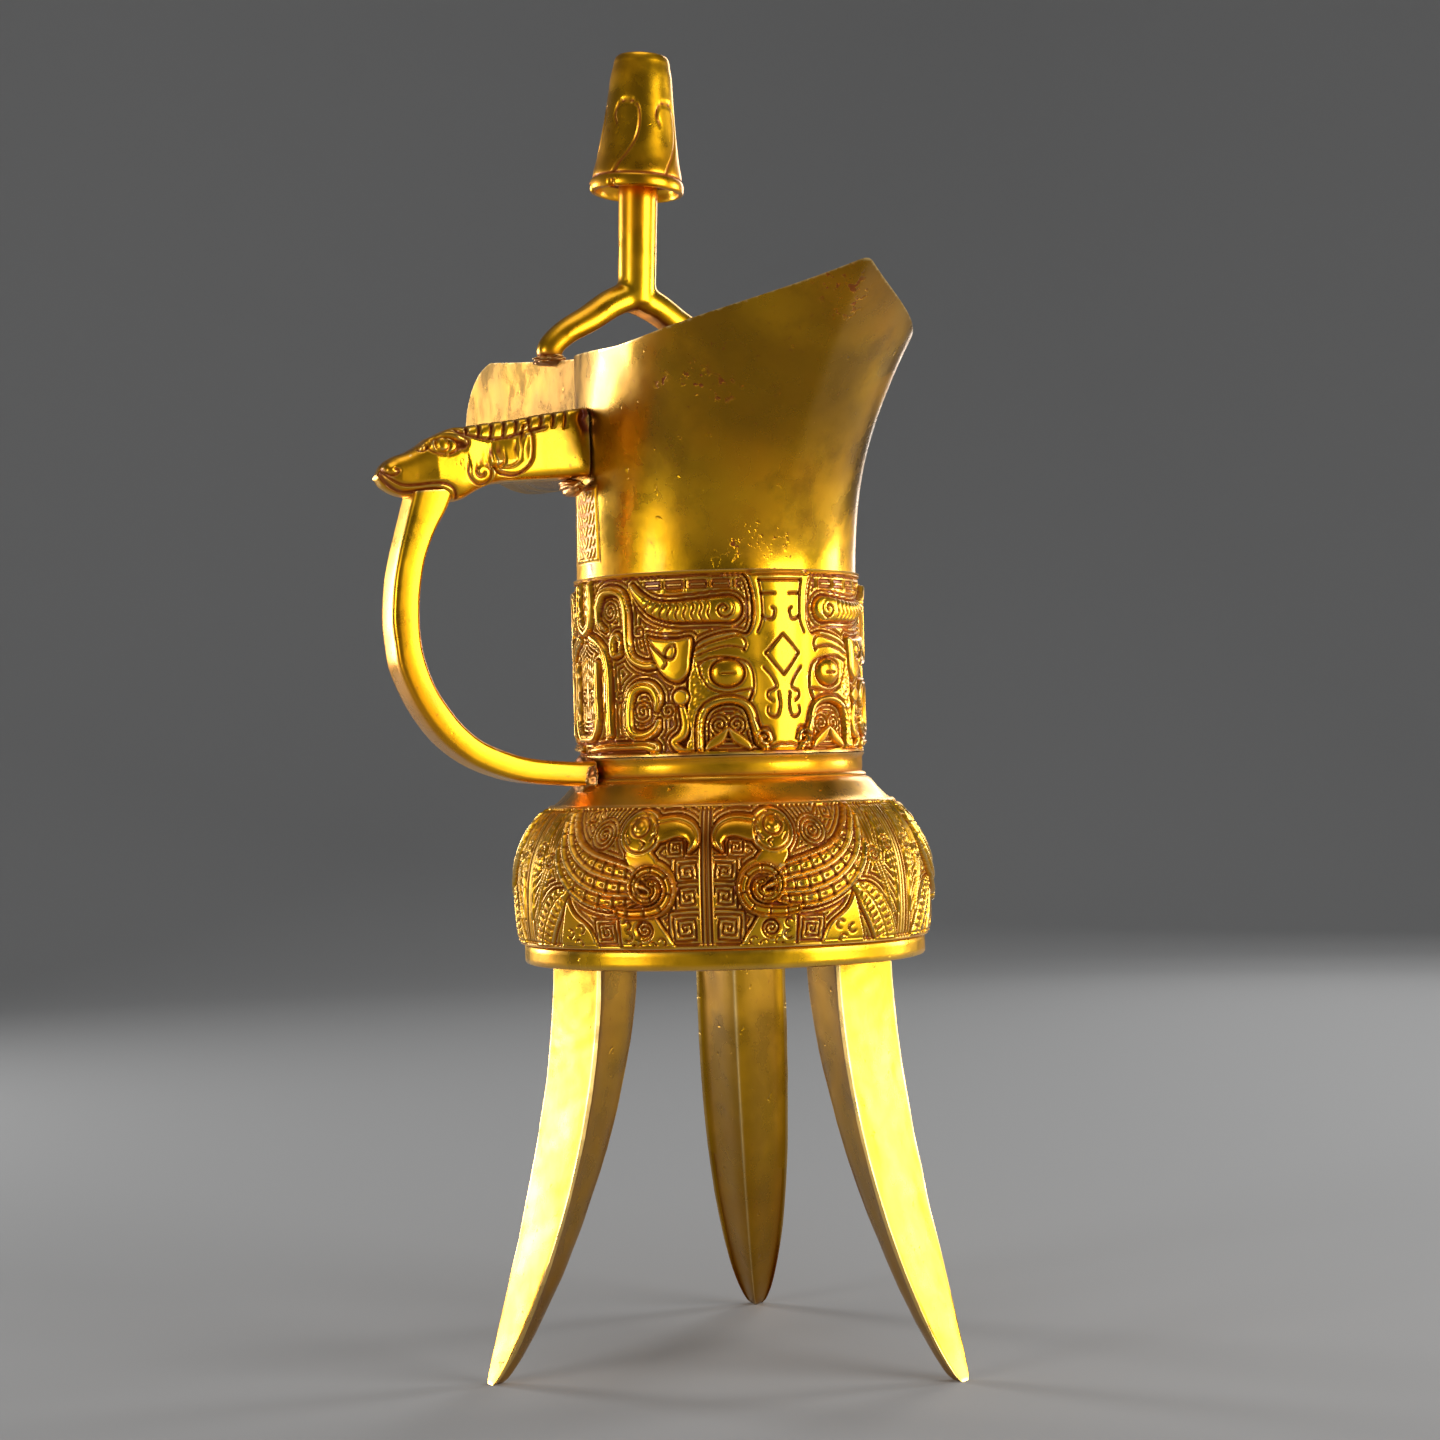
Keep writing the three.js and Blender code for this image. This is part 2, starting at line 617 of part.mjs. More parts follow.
// Ears, eyes, cheeks, nostrils and the ribbed mane of the head, each a small lump: its place as a
// share along the head, its drop and sizes as shares of the head's depth.
function headDetails() {
  const wall = bodyRadius(radians(-90), HEAD_WALL_TOP);
  const along = (share) => lerp(wall, HEAD_REACH, share);
  const lumps = [];
  const lump = (share, drop, across, sizes, turn) => {
    const [length, high, thick] = sizes.map((size) => size * HEAD_DEPTH);
    const ball = new THREE.SphereGeometry(1, 6, 4);
    ball.scale(thick, length, high);
    ball.rotateX(turn);
    const centre = handlePoint(
      along(share),
      HEAD_WALL_TOP - drop * HEAD_DEPTH,
      across * HEAD_HALF_WIDTH,
    );
    ball.translate(centre.x, centre.y, centre.z);
    return solid(ball);
  };
  for (const mirror of [1, -1]) {
    lumps.push(lump(0.35, 0.53, mirror * 0.9, [0.311, 0.106, 0.083], 0.5));
    lumps.push(lump(0.7, 0.46, mirror * 0.87, [0.144, 0.083, 0.056], 0.1));
    lumps.push(lump(0.51, 0.73, mirror * 0.87, [0.133, 0.133, 0.05], 0));
    lumps.push(lump(0.955, 0.7, mirror * 0.54, [0.072, 0.061, 0.056], 0));
  }
  const ribs = 5;
  for (let i = 0; i < ribs; i++) {
    const run = i / (ribs - 1);
    lumps.push(lump(lerp(0.16, 0.58, run), lerp(0.1, 0.26, run), 0, [0.106, 0.067, 0.178], 0));
  }
  return lumps;
}

// The handle, kept clear of the body by the joint's gap all round.
function handleSolid() {
  const whole = joined([strap(), headSolid(), ...headDetails()]);
  const levels = [
    NECK_Z - 1.4 * SHOULDER_HEIGHT,
    NECK_Z - STEP,
    NECK_Z,
    MASK_Z,
    MASK_Z + STEP,
    UPPER_Z,
    lerp(UPPER_Z, RIM_LOW_Z, 0.5),
    RIM_LOW_Z,
  ];
  const clearance = solid(loft(levels.map((z) => bodyRing(z, -JOINT_GAP, ROUND_STEPS))));
  return whole.subtract(clearance);
}

// A round bar along a curve, thick or thin by share of its length.
function bar(path, radiusAt, steps, sides) {
  const rings = [];
  const side = new THREE.Vector3(1, 0, 0);
  for (let i = 0; i <= steps; i++) {
    const share = i / steps;
    const centre = path.getPoint(share);
    const tangent = path.getTangent(share);
    const up = new THREE.Vector3().crossVectors(side, tangent).normalize();
    const across = new THREE.Vector3().crossVectors(tangent, up).normalize();
    const ring = [];
    for (let k = 0; k < sides; k++) {
      const turn = (2 * Math.PI * k) / sides;
      ring.push(
        centre
          .clone()
          .addScaledVector(up, radiusAt(share) * Math.cos(turn))
          .addScaledVector(across, radiusAt(share) * Math.sin(turn)),
      );
    }
    rings.push(ring);
  }
  return solid(loft(rings));
}

function fork() {
  const footZ = rimHeight(POST_X) + JOINT_GAP;
  const midZ = footZ + FORK_RISE;
  const span = FORK_HALF_SPAN;
  const arms = [1, -1].map((mirror) =>
    bar(
      new THREE.CatmullRomCurve3([
        new THREE.Vector3(POST_X, -mirror * 1.5, midZ + 0.4),
        new THREE.Vector3(POST_X, mirror * 0.25 * span, midZ - 0.16 * FORK_RISE),
        new THREE.Vector3(POST_X, mirror * 0.52 * span, midZ - 0.4 * FORK_RISE),
        new THREE.Vector3(POST_X, mirror * 0.8 * span, midZ - 0.62 * FORK_RISE),
        new THREE.Vector3(POST_X, mirror * 0.98 * span, midZ - 0.84 * FORK_RISE),
        new THREE.Vector3(POST_X, mirror * span, footZ + 0.02),
      ]),
      (share) => FORK_ARM_RADIUS * lerp(1.04, 0.86, share ** 2),
      9,
      8,
    ),
  );
  const top = postAxis(POST_HEIGHT - 0.6 * CAP_HEIGHT);
  const rodPath = new THREE.LineCurve3(new THREE.Vector3(POST_X, 0, midZ - 1.5), top);
  const rod = bar(rodPath, (share) => ROD_RADIUS * lerp(1.02, 1.08, share), 2, 10);
  const knee = new THREE.SphereGeometry(1.12 * ROD_RADIUS, 8, 6);
  knee.translate(POST_X, 0, midZ + 0.6);
  const block = new THREE.BoxGeometry(40, 4 * span, 20);
  block.translate(POST_X, 0, footZ - 10);
  return joined([...arms, rod, solid(knee)]).subtract(solid(block));
}

// A point on the leaning axis of the post, by its height over the rim.
function postAxis(height) {
  const lean = Math.max(height - FORK_RISE, 0);
  return new THREE.Vector3(
    POST_X + POST_LEAN.x * lean,
    POST_LEAN.y * lean,
    rimHeight(POST_X) + JOINT_GAP + height,
  );
}

function capSolid() {
  const edge = 0.9;
  const profile = [
    [0, 0.16],
    [CAP_SKIRT_RADIUS - 1.6, 0.1],
    [CAP_SKIRT_RADIUS - 1.2, 0],
    [CAP_SKIRT_RADIUS, 0.045],
    [CAP_SKIRT_RADIUS - 0.35, 0.1],
    [CAP_SKIRT_RADIUS - 1.0, 0.13],
    [lerp(CAP_TOP_RADIUS, CAP_SKIRT_RADIUS, 0.6), 0.3],
    [lerp(CAP_TOP_RADIUS, CAP_SKIRT_RADIUS, 0.33), 0.55],
    [lerp(CAP_TOP_RADIUS, CAP_SKIRT_RADIUS, 0.12), 0.8],
    [CAP_TOP_RADIUS, 0.93],
    [CAP_TOP_RADIUS - edge, 1],
    [0, 1],
  ].map(([radius, share]) => new THREE.Vector2(radius, share * CAP_HEIGHT));
  const cap = new THREE.LatheGeometry(profile, 18);
  cap.rotateX(Math.PI / 2);
  const lean = new THREE.Vector3(POST_LEAN.x, POST_LEAN.y, 1).normalize();
  const turn = new THREE.Quaternion().setFromUnitVectors(new THREE.Vector3(0, 0, 1), lean);
  cap.applyQuaternion(turn);
  const foot = postAxis(POST_HEIGHT - CAP_HEIGHT);
  cap.translate(foot.x, foot.y, foot.z);
  return solid(cap);
}

function postSolid() {
  return fork().add(capSolid());
}

const gilt = () => new THREE.MeshStandardMaterial({ color: 0xd49a1e, roughness: 0.32, metalness: 1 });

function standsOnItsBoxCentre(model) {
  const box = new THREE.Box3().setFromObject(model);
  const centre = box.getCenter(new THREE.Vector3());
  model.position.set(-centre.x, -centre.y, -box.min.z);
  return model;
}

const cup = new THREE.Group();
cup.add(namedMesh("vessel", vesselSolid(), gilt()));
cup.add(namedMesh("handle", handleSolid(), gilt()));
cup.add(namedMesh("forked_post", postSolid(), gilt()));

const group = standsOnItsBoxCentre(cup);

export default group;
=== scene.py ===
"""Gilt bronze tripod cup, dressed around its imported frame.

The cup is a casting with a carved belly of facing birds, a waist band of monster masks, a flared
mouth with a spout and a pointed tail, a soldered animal-head handle and a soldered forked post.
Lengths below are in millimetres in the cup's own frame (its body's axis at the origin) and are
moved and scaled to metres as each piece is made.
"""

import json
import logging
import math
from dataclasses import dataclass
from enum import Enum
from functools import partial
from typing import Sequence

import bpy
import numpy as np
from mathutils import Matrix, Vector


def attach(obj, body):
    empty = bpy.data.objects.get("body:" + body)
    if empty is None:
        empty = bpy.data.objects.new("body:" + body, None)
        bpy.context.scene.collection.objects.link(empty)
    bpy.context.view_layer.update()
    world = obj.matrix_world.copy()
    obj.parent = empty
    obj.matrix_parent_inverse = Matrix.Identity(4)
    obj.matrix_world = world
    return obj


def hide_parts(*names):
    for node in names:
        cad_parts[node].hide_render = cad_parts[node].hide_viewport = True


MM = 0.001
FAR = 30.0
SOFT_EDGE = 0.22
Array = np.ndarray
Point2 = tuple[float, float]
Piece = bpy.types.Object
Socket = bpy.types.NodeSocket
Tree = bpy.types.NodeTree
LOG = logging.getLogger("tripod_cup")

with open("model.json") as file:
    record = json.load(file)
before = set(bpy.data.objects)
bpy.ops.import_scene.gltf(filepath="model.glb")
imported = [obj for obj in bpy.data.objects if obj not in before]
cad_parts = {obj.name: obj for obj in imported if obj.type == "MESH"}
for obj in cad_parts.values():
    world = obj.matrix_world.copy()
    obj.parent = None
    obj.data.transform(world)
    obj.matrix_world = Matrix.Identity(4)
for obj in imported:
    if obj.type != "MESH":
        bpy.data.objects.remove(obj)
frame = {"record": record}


class Slot(Enum):
    """Material slots of the record."""

    VESSEL = "gilt_vessel"
    HANDLE = "gilt_handle"
    POST = "gilt_post"


class Node(Enum):
    """Nodes of the frame that the pieces stand for."""

    VESSEL = "vessel"
    HANDLE = "handle"
    POST = "forked_post"


def body_axis() -> Vector:
    """Find the body's axis on the ground, the middle of the three feet.

    Returns:
        The point in metres.
    """
    feet = [Vector(mount["pos_m"]) for mount in frame["record"]["mounts"]]
    return sum(feet, Vector()) / len(feet)


AXIS = body_axis()


def smoothstep(low: float, high: float, value: Array) -> Array:
    """Rise smoothly from 0 at low to 1 at high, or fall where low lies above high."""
    share = np.clip((value - low) / (high - low), 0.0, 1.0)
    return share * share * (3.0 - 2.0 * share)


def lerp(start: float, end: float, share: float | Array) -> float | Array:
    """Blend two values by a share."""
    return start + (end - start) * share


def smooth_noise(seed: int, points: Array, scale: float) -> Array:
    """Sum a few sine waves in seeded directions, as a cheap smooth noise.

    Args:
        seed: Seed of the directions and phases.
        points: Array of points, its last axis holding the coordinates in millimetres.
        scale: Rough size of the bumps in millimetres.

    Returns:
        Values of about -1 to 1, one for each point.
    """
    rng = np.random.default_rng(seed)
    waves = 14
    total = np.zeros(points.shape[:-1])
    for _ in range(waves):
        direction = rng.normal(size=points.shape[-1])
        direction /= np.linalg.norm(direction)
        wavelength = scale * rng.uniform(0.7, 2.6)
        total += np.sin(points @ direction * (2 * math.pi / wavelength) + rng.uniform(0, 7))
    return total / math.sqrt(waves / 2) / 1.8


def within(outside: Array, soft: float) -> Array:
    """Fall from 1 inside an outline to 0 outside it, over a soft edge."""
    return smoothstep(soft, -soft, outside)


def hump(distance: Array, width: float | Array) -> Array:
    """Rounded ridge, 1 where a distance is 0 and gone past about twice the width."""
    return np.exp(-((distance / width) ** 2))


def waves(distance: Array, pitch: float) -> Array:
    """Even lines, 1 where a distance is a whole number of pitches and 0 halfway between."""
    return 0.5 + 0.5 * np.cos(2 * math.pi * distance / pitch)


def catmull(points: Sequence[Sequence[float]], steps: int) -> Array:
    """Sample a smooth curve through its points.

    Args:
        points: The curve's points, with any number of values each.
        steps: Samples in each stretch between two points.

    Returns:
        The samples, one in each row.
    """
    p = np.asarray(points, dtype=float)
    ends = np.vstack([2 * p[0] - p[1], p, 2 * p[-1] - p[-2]])
    rows = []
    for i in range(len(p) - 1):
        a, b, c, d = ends[i : i + 4]
        t = (np.arange(steps) / steps)[:, None]
        rows.append(
            0.5
            * (2 * b + (c - a) * t + (2 * a - 5 * b + 4 * c - d) * t**2 + (3 * b - 3 * c + d - a) * t**3)
        )
    rows.append(p[-1:])
    return np.vstack(rows)


def curve_distance(line: Array, u: Array, v: Array, limit: float) -> Array:
    """Distance of points from a curve in a plane.

    Args:
        line: Samples of the curve, two values in each row.
        u: First value of the points.
        v: Second value of the points.
        limit: Largest distance that is told.

    Returns:
        The distance of each point.
    """
    best = np.full_like(u, limit)
    for a, b in zip(line[:-1], line[1:]):
        step = b - a
        share = np.clip(((u - a[0]) * step[0] + (v - a[1]) * step[1]) / max(step @ step, 1e-9), 0, 1)
        best = np.minimum(best, np.hypot(u - a[0] - share * step[0], v - a[1] - share * step[1]))
    return best


def round_axis(radius: Array, theta: Array, z: float | Array) -> Array:
    """Points at radii, angles and heights about the body's axis."""
    height = np.broadcast_to(z, np.shape(radius))
    return np.stack([radius * np.cos(theta), radius * np.sin(theta), height], axis=-1)


@dataclass(frozen=True)
class BodyForm:
    """Plain form of the vessel's body, without the carving.

    The levels run from the ground up and the radii are those of the outside.
    """

    leg_height: float = 74.2
    base_band_height: float = 3.8
    belly_height: float = 25.2
    shoulder_height: float = 4.5
    neck_height: float = 4.1
    mask_band_height: float = 33.0
    rim_rise: float = 40.1
    base_radius: float = 37.1
    belly_radius: float = 37.7
    belly_top_radius: float = 31.4
    shoulder_top_radius: float = 27.2
    neck_radius: float = 26.5
    mask_band_radius: float = 26.1
    belly_corner_share: float = 0.03
    wall: float = 2.2
    floor: float = 4.6
    tail_reach: float = 64.1
    mouth_half_width: float = 27.8
    mouth_widest_x: float = 18.4
    mouth_back_reach: float = 34.0
    tail_rise: float = 9.6
    tail_bluntness: float = 2.9
    flare_power: float = 1.6
    flare_height_share: float = 1.1
    spout_reach: float = 96.0
    spout_rise: float = 10.8
    spout_tip_rounding: float = 19.0

    @property
    def belly_z(self) -> float:
        """Level of the belly's foot."""
        return self.leg_height + self.base_band_height

    @property
    def shoulder_z(self) -> float:
        """Level where the belly turns into the plain shoulder."""
        return self.belly_z + self.belly_height

    @property
    def neck_z(self) -> float:
        """Level of the ridge under the neck."""
        return self.shoulder_z + self.shoulder_height

    @property
    def mask_z(self) -> float:
        """Level of the mask band's foot."""
        return self.neck_z + self.neck_height

    @property
    def upper_z(self) -> float:
        """Level of the mask band's top."""
        return self.mask_z + self.mask_band_height

    @property
    def rim_low_z(self) -> float:
        """Level of the rim's lowest place."""
        return self.upper_z + self.rim_rise

    def rim_height(self, x: Array) -> Array:
        """Height of the rim over x: a saddle, lowest at the mouth's widest place."""
        tail = (x - self.mouth_widest_x) / (self.tail_reach - self.mouth_widest_x)
        run = self.mouth_widest_x + self.spout_reach - self.spout_tip_rounding
        spout = (self.mouth_widest_x - x) / run
        return self.rim_low_z + np.where(
            x > self.mouth_widest_x,
            self.tail_rise * np.clip(tail, 0, None) ** 2,
            self.spout_rise * np.clip(spout, 0, None) ** 1.25,
        )

    def flare_at(self, z: Array) -> Array:
        """Share of the mouth's flare at a height."""
        height = self.rim_rise * self.flare_height_share
        return np.clip((z - self.upper_z) / height, 0, None) ** self.flare_power

    def leaf_half_width(self, x: Array) -> Array:
        """Half width of the full mouth's leaf at x."""
        full = self.flare_at(np.array(self.rim_low_z + self.tail_rise))
        reach = self.mask_band_radius + (self.tail_reach - self.mask_band_radius) / full
        ahead = np.clip((x - self.mouth_widest_x) / (reach - self.mouth_widest_x), 0, None)
        back = (self.mouth_widest_x - x) / (self.mouth_widest_x + self.mouth_back_reach)
        return self.mouth_half_width * np.where(
            x > self.mouth_widest_x,
            1 - ahead**self.tail_bluntness,
            np.sqrt(np.clip(1 - np.clip(back, 0, 1) ** 2, 0, None)),
        )

    def leaf_radius(self, theta: Array) -> Array:
        """Plan radius of the full leaf by angle from the tail, found by halving."""
        inside = np.zeros_like(theta)
        outside = np.full_like(theta, 2 * self.tail_reach)
        for _ in range(40):
            middle = (inside + outside) / 2
            within = np.abs(middle * np.sin(theta)) < self.leaf_half_width(middle * np.cos(theta))
            inside = np.where(within, middle, inside)
            outside = np.where(within, outside, middle)
        return inside

    def radius(self, theta: Array, z: float) -> Array:
        """Outer radius of the plain body.

        Args:
            theta: Angles from the tail in radians.
            z: Height in millimetres.

        Returns:
            The radius at each angle.
        """
        corner = np.cos(3 * (theta + math.pi / 2))
        if z < self.belly_z:
            return self.base_radius * (1 + 0.7 * self.belly_corner_share * corner)
        if z < self.shoulder_z:
            share = (z - self.belly_z) / self.belly_height
            rise = min(max((share - 0.26) / 0.74, 0), 1)
            drop = (self.belly_radius - self.belly_top_radius) * rise**2.8
            foot = 0.6 * min(max(1 - share / 0.26, 0), 1) ** 2
            swell = self.belly_corner_share * (1 - 0.5 * share**3)
            return (self.belly_radius - drop - foot) * (1 + swell * corner)
        if z < self.neck_z:
            share = (z - self.shoulder_z) / self.shoulder_height
            swell = 0.5 * self.belly_corner_share * (1 - share)
            low, high = self.belly_top_radius, self.shoulder_top_radius
            return lerp(low, high, share**0.8) * (1 + swell * corner)
        if z < self.mask_z:
            return np.full_like(theta, self.neck_radius)
        if z < self.upper_z:
            return np.full_like(theta, self.mask_band_radius)
        return lerp(self.mask_band_radius, self.leaf_radius(theta), self.flare_at(np.array(z)))


FORM = BodyForm()


def add_mesh(name: str, points: Array, faces: Sequence[Sequence[int]]) -> Piece:
    """Make a mesh object from millimetre points about the body's axis.

    Args:
        name: Name of the object.
        points: Points in millimetres, one in each row.
        faces: Corner indices of each face.

    Returns:
        The object, at the origin, with its place in its mesh.
    """
    mesh = bpy.data.meshes.new(name)
    placed = np.asarray(points, dtype=float) * MM + np.array([AXIS.x, AXIS.y, 0.0])
    mesh.from_pydata(placed.tolist(), [], [tuple(int(i) for i in face) for face in faces])
    mesh.validate()
    mesh.update()
    piece = bpy.data.objects.new(name, mesh)
    bpy.context.scene.collection.objects.link(piece)
    return piece


def ring_faces(rings: int, count: int, close: bool = False) -> list[tuple[int, ...]]:
    """Faces between stacked rings of points.

    Args:
        rings: Number of rings.
        count: Points in each ring.
        close: Whether the last ring joins the first, instead of both ends being capped.

    Returns:
        The faces, with a flat cap at each end unless the rings close on themselves.
    """
    faces: list[tuple[int, ...]] = []
    last = rings if close else rings - 1
    for r in range(last):
        a = r * count
        b = ((r + 1) % rings) * count
        for i in range(count):
            j = (i + 1) % count
            faces.append((a + i, a + j, b + j, b + i))
    if not close:
        faces.append(tuple(reversed(range(count))))
        faces.append(tuple(range((rings - 1) * count, rings * count)))
    return faces


def select_only(piece: Piece) -> None:
    """Make a piece the one selected and active object."""
    bpy.ops.object.select_all(action="DESELECT")
    piece.select_set(True)
    bpy.context.view_layer.objects.active = piece


def face_outwards(piece: Piece) -> None:
    """Recalculate a closed piece's normals so that they point out."""
    select_only(piece)
    bpy.ops.object.mode_set(mode="EDIT")
    bpy.ops.mesh.select_all(action="SELECT")
    bpy.ops.mesh.normals_make_consistent(inside=False)
    bpy.ops.object.mode_set(mode="OBJECT")


def apply_modifier(piece: Piece, kind: str, **settings: object) -> None:
    """Add a modifier with its settings and apply it."""
    select_only(piece)
    modifier = piece.modifiers.new(kind.lower(), kind)
    for key, value in settings.items():
        setattr(modifier, key, value)
    bpy.ops.object.modifier_apply(modifier=modifier.name)


def combine(piece: Piece, tool: Piece, operation: str) -> None:
    """Join or cut a piece with a tool, which is then deleted.

    Args:
        piece: The piece that changes.
        tool: The other solid.
        operation: UNION, DIFFERENCE or INTERSECT.
    """
    apply_modifier(piece, "BOOLEAN", operation=operation, object=tool, solver="MANIFOLD")
    bpy.data.objects.remove(tool, do_unlink=True)


def shade(piece: Piece, degrees: float = 40.0) -> None:
    """Shade a piece smooth, with edges sharper than an angle kept hard."""
    select_only(piece)
    bpy.ops.object.shade_smooth_by_angle(angle=math.radians(degrees))


def set_mark(piece: Piece, label: str, values: Array) -> None:
    """Store a value of 0 to 1 for each point, which the finish reads by its label."""
    attribute = piece.data.attributes.new(label, "FLOAT", "POINT")
    attribute.data.foreach_set("value", np.asarray(values, dtype=np.float32).ravel())


def set_recess_and_shade(piece: Piece, values: Array) -> None:
    """Store how deep in the carving each point lies, 0 on top and 1 in the recesses; on the fork the same
    mark holds painted shade under its arms and a darkening near its feet.
    """
    set_mark(piece, "recess_and_shade", values)


def vertex_values(piece: Piece, label: str) -> Array:
    """Read three values of each point of a piece, its place or its normal, as rows."""
    values = np.empty(len(piece.data.vertices) * 3)
    piece.data.vertices.foreach_get(label, values)
    return values.reshape(-1, 3)


def move_points(piece: Piece, points: Array) -> None:
    """Put the points of a piece at new places, in metres."""
    piece.data.vertices.foreach_set("co", points.ravel())
    piece.data.update()


def points_of(piece: Piece) -> Array:
    """Points of a piece in millimetres about the body's axis."""
    return (vertex_values(piece, "co") - np.array([AXIS.x, AXIS.y, 0.0])) / MM


@dataclass(frozen=True)
class StrokeField:
    """Where each point of a carving lies beside one stroke.

    Attributes:
        along: Distance run along the stroke, in millimetres.
        across: Signed distance from its middle line.
        half: The stroke's half width there.
    """

    along: Array
    across: Array
    half: Array

    @property
    def outside(self) -> Array:
        """Distance from the stroke's edge, negative inside it."""
        return np.abs(self.across) - self.half

    @property
    def crown(self) -> Array:
        """Rounded cross section, 1 on the middle line and 0 at the edges."""
        return np.sqrt(np.clip(1 - (self.across / np.maximum(self.half, 1e-3)) ** 2, 0, 1))


class Carving:
    """A height field over one half of a motif, drawn with strokes, leaves and spirals.

    Places are given as degrees from the motif's centre line and as a share of the band's height.
    """

    def __init__(self, radius: float, degrees: float, height: float, pitch: float) -> None:
        """Lay out the grid.

        Args:
            radius: Radius that turns degrees into arc, in millimetres.
            degrees: Angle that the half motif covers.
            height: Height of the band.
            pitch: Size of a grid cell.
        """
        self.radius = radius
        self.height = height
        arc = math.radians(degrees) * radius
        self.s = np.linspace(0, arc, int(round(arc / pitch)) + 1)
        self.z = np.linspace(0, height, int(round(height / pitch)) + 1)
        self.S, self.Z = np.meshgrid(self.s, self.z)
        self.level = np.zeros_like(self.S)
        self.clear = np.full_like(self.S, 50.0)

    def place(self, degrees: float, share: float) -> Point2:
        """Turn degrees and a share of the height into millimetres on the grid."""
        return math.radians(degrees) * self.radius, share * self.height

    def stroke(self, points: Sequence[Sequence[float]], steps: int = 7) -> StrokeField:
        """Measure every grid point against a stroke.

        Args:
            points: Degrees, height share and half width in millimetres of each point.
            steps: Samples between two points.

        Returns:
            The field of the stroke.
        """
        line = catmull([(*self.place(d, v), w) for d, v, w in points], steps)
        best = np.full_like(self.S, 60.0)
        along = np.zeros_like(self.S)
        across = np.full_like(self.S, 60.0)
        half = np.full_like(self.S, 0.1)
        run = 0.0
        for a, b in zip(line[:-1], line[1:]):
            step = b[:2] - a[:2]
            length = float(np.hypot(*step))
            if length < 1e-9:
                continue
            ds, dz = self.S - a[0], self.Z - a[1]
            share = np.clip((ds * step[0] + dz * step[1]) / length**2, 0, 1)
            away = np.hypot(ds - share * step[0], dz - share * step[1])
            near = away < best
            side = np.where(step[0] * dz - step[1] * ds >= 0, 1.0, -1.0)
            best = np.where(near, away, best)
            across = np.where(near, side * away, across)
            along = np.where(near, run + share * length, along)
            half = np.where(near, np.maximum(a[2] + share * (b[2] - a[2]), 0.05), half)
            run += length
        return StrokeField(along, across, half)

    def leaf(self, points: Sequence[Point2], steps: int = 5) -> Array:
        """Distance from a closed smooth outline, negative inside it."""
        ring = [self.place(d, v) for d, v in points]
        line = catmull([*ring, ring[0]], steps)
        best = np.full_like(self.S, 60.0)
        inside = np.zeros(self.S.shape, dtype=bool)
        for a, b in zip(line[:-1], line[1:]):
            step = b - a
            length2 = float(step @ step)
            if length2 < 1e-12:
                continue
            ds, dz = self.S - a[0], self.Z - a[1]
            share = np.clip((ds * step[0] + dz * step[1]) / length2, 0, 1)
            best = np.minimum(best, np.hypot(ds - share * step[0], dz - share * step[1]))
            crosses = (a[1] > self.Z) != (b[1] > self.Z)
            rise = step[1] if abs(step[1]) > 1e-12 else 1e-12
            inside ^= crosses & (self.S < a[0] + (self.Z - a[1]) / rise * step[0])
        return np.where(inside, -best, best)

    def disc(self, degrees: float, share: float, wide: float, high: float) -> Array:
        """Distance from an oval, negative inside it, with its half axes in millimetres."""
        s0, z0 = self.place(degrees, share)
        reach = np.hypot((self.S - s0) / wide, (self.Z - z0) / high)
        return (reach - 1) * math.sqrt(wide * high)

    def spiral(
        self, degrees: float, share: float, pitch: float, squareness: float, turn: float, sense: int = 1
    ) -> tuple[Array, Array]:
        """Wave of a spiral line about a centre.

        Args:
            degrees: Centre's angle.
            share: Centre's height share.
            pitch: Distance between two turns.
            squareness: 0 for a round spiral and 1 for a squared one.
            turn: Angle in radians where the line starts.
            sense: 1 or -1, the way it winds.

        Returns:
            The wave, 1 on the line and 0 between, and the distance from the centre.
        """
        s0, z0 = self.place(degrees, share)
        ds, dz = self.S - s0, self.Z - z0
        round_reach = np.hypot(ds, dz)
        square_reach = np.maximum(np.abs(ds), np.abs(dz))
        reach = lerp(round_reach, square_reach, squareness)
        angle = np.arctan2(dz, ds) * sense + turn
        wave = 0.5 + 0.5 * np.cos(2 * math.pi * (reach / pitch - angle / (2 * math.pi)))
        return wave, reach

    def lift(self, outside: Array, top: float | Array) -> None:
        """Raise what lies inside a distance field to a height, with a steep soft edge."""
        rise = top * within(outside, SOFT_EDGE)
        self.level = np.maximum(self.level, rise)
        self.clear = np.minimum(self.clear, outside)

    def engrave(self, away: Array, depth: float, half: float = 0.2) -> None:
        """Cut a groove where a distance is near zero."""
        self.level -= depth * hump(away, half)

    def line(self, points: Sequence[Point2], depth: float = 0.3, half: float = 0.2) -> None:
        """Engrave a curve of even width."""
        track = self.stroke([(d, v, 0.0) for d, v in points])
        self.engrave(np.abs(track.across), depth, half)

    def mirrored(self, values: Array) -> Array:
        """Whole motif from the half, mirrored about its centre line."""
        return np.hstack([values[:, :0:-1], values])


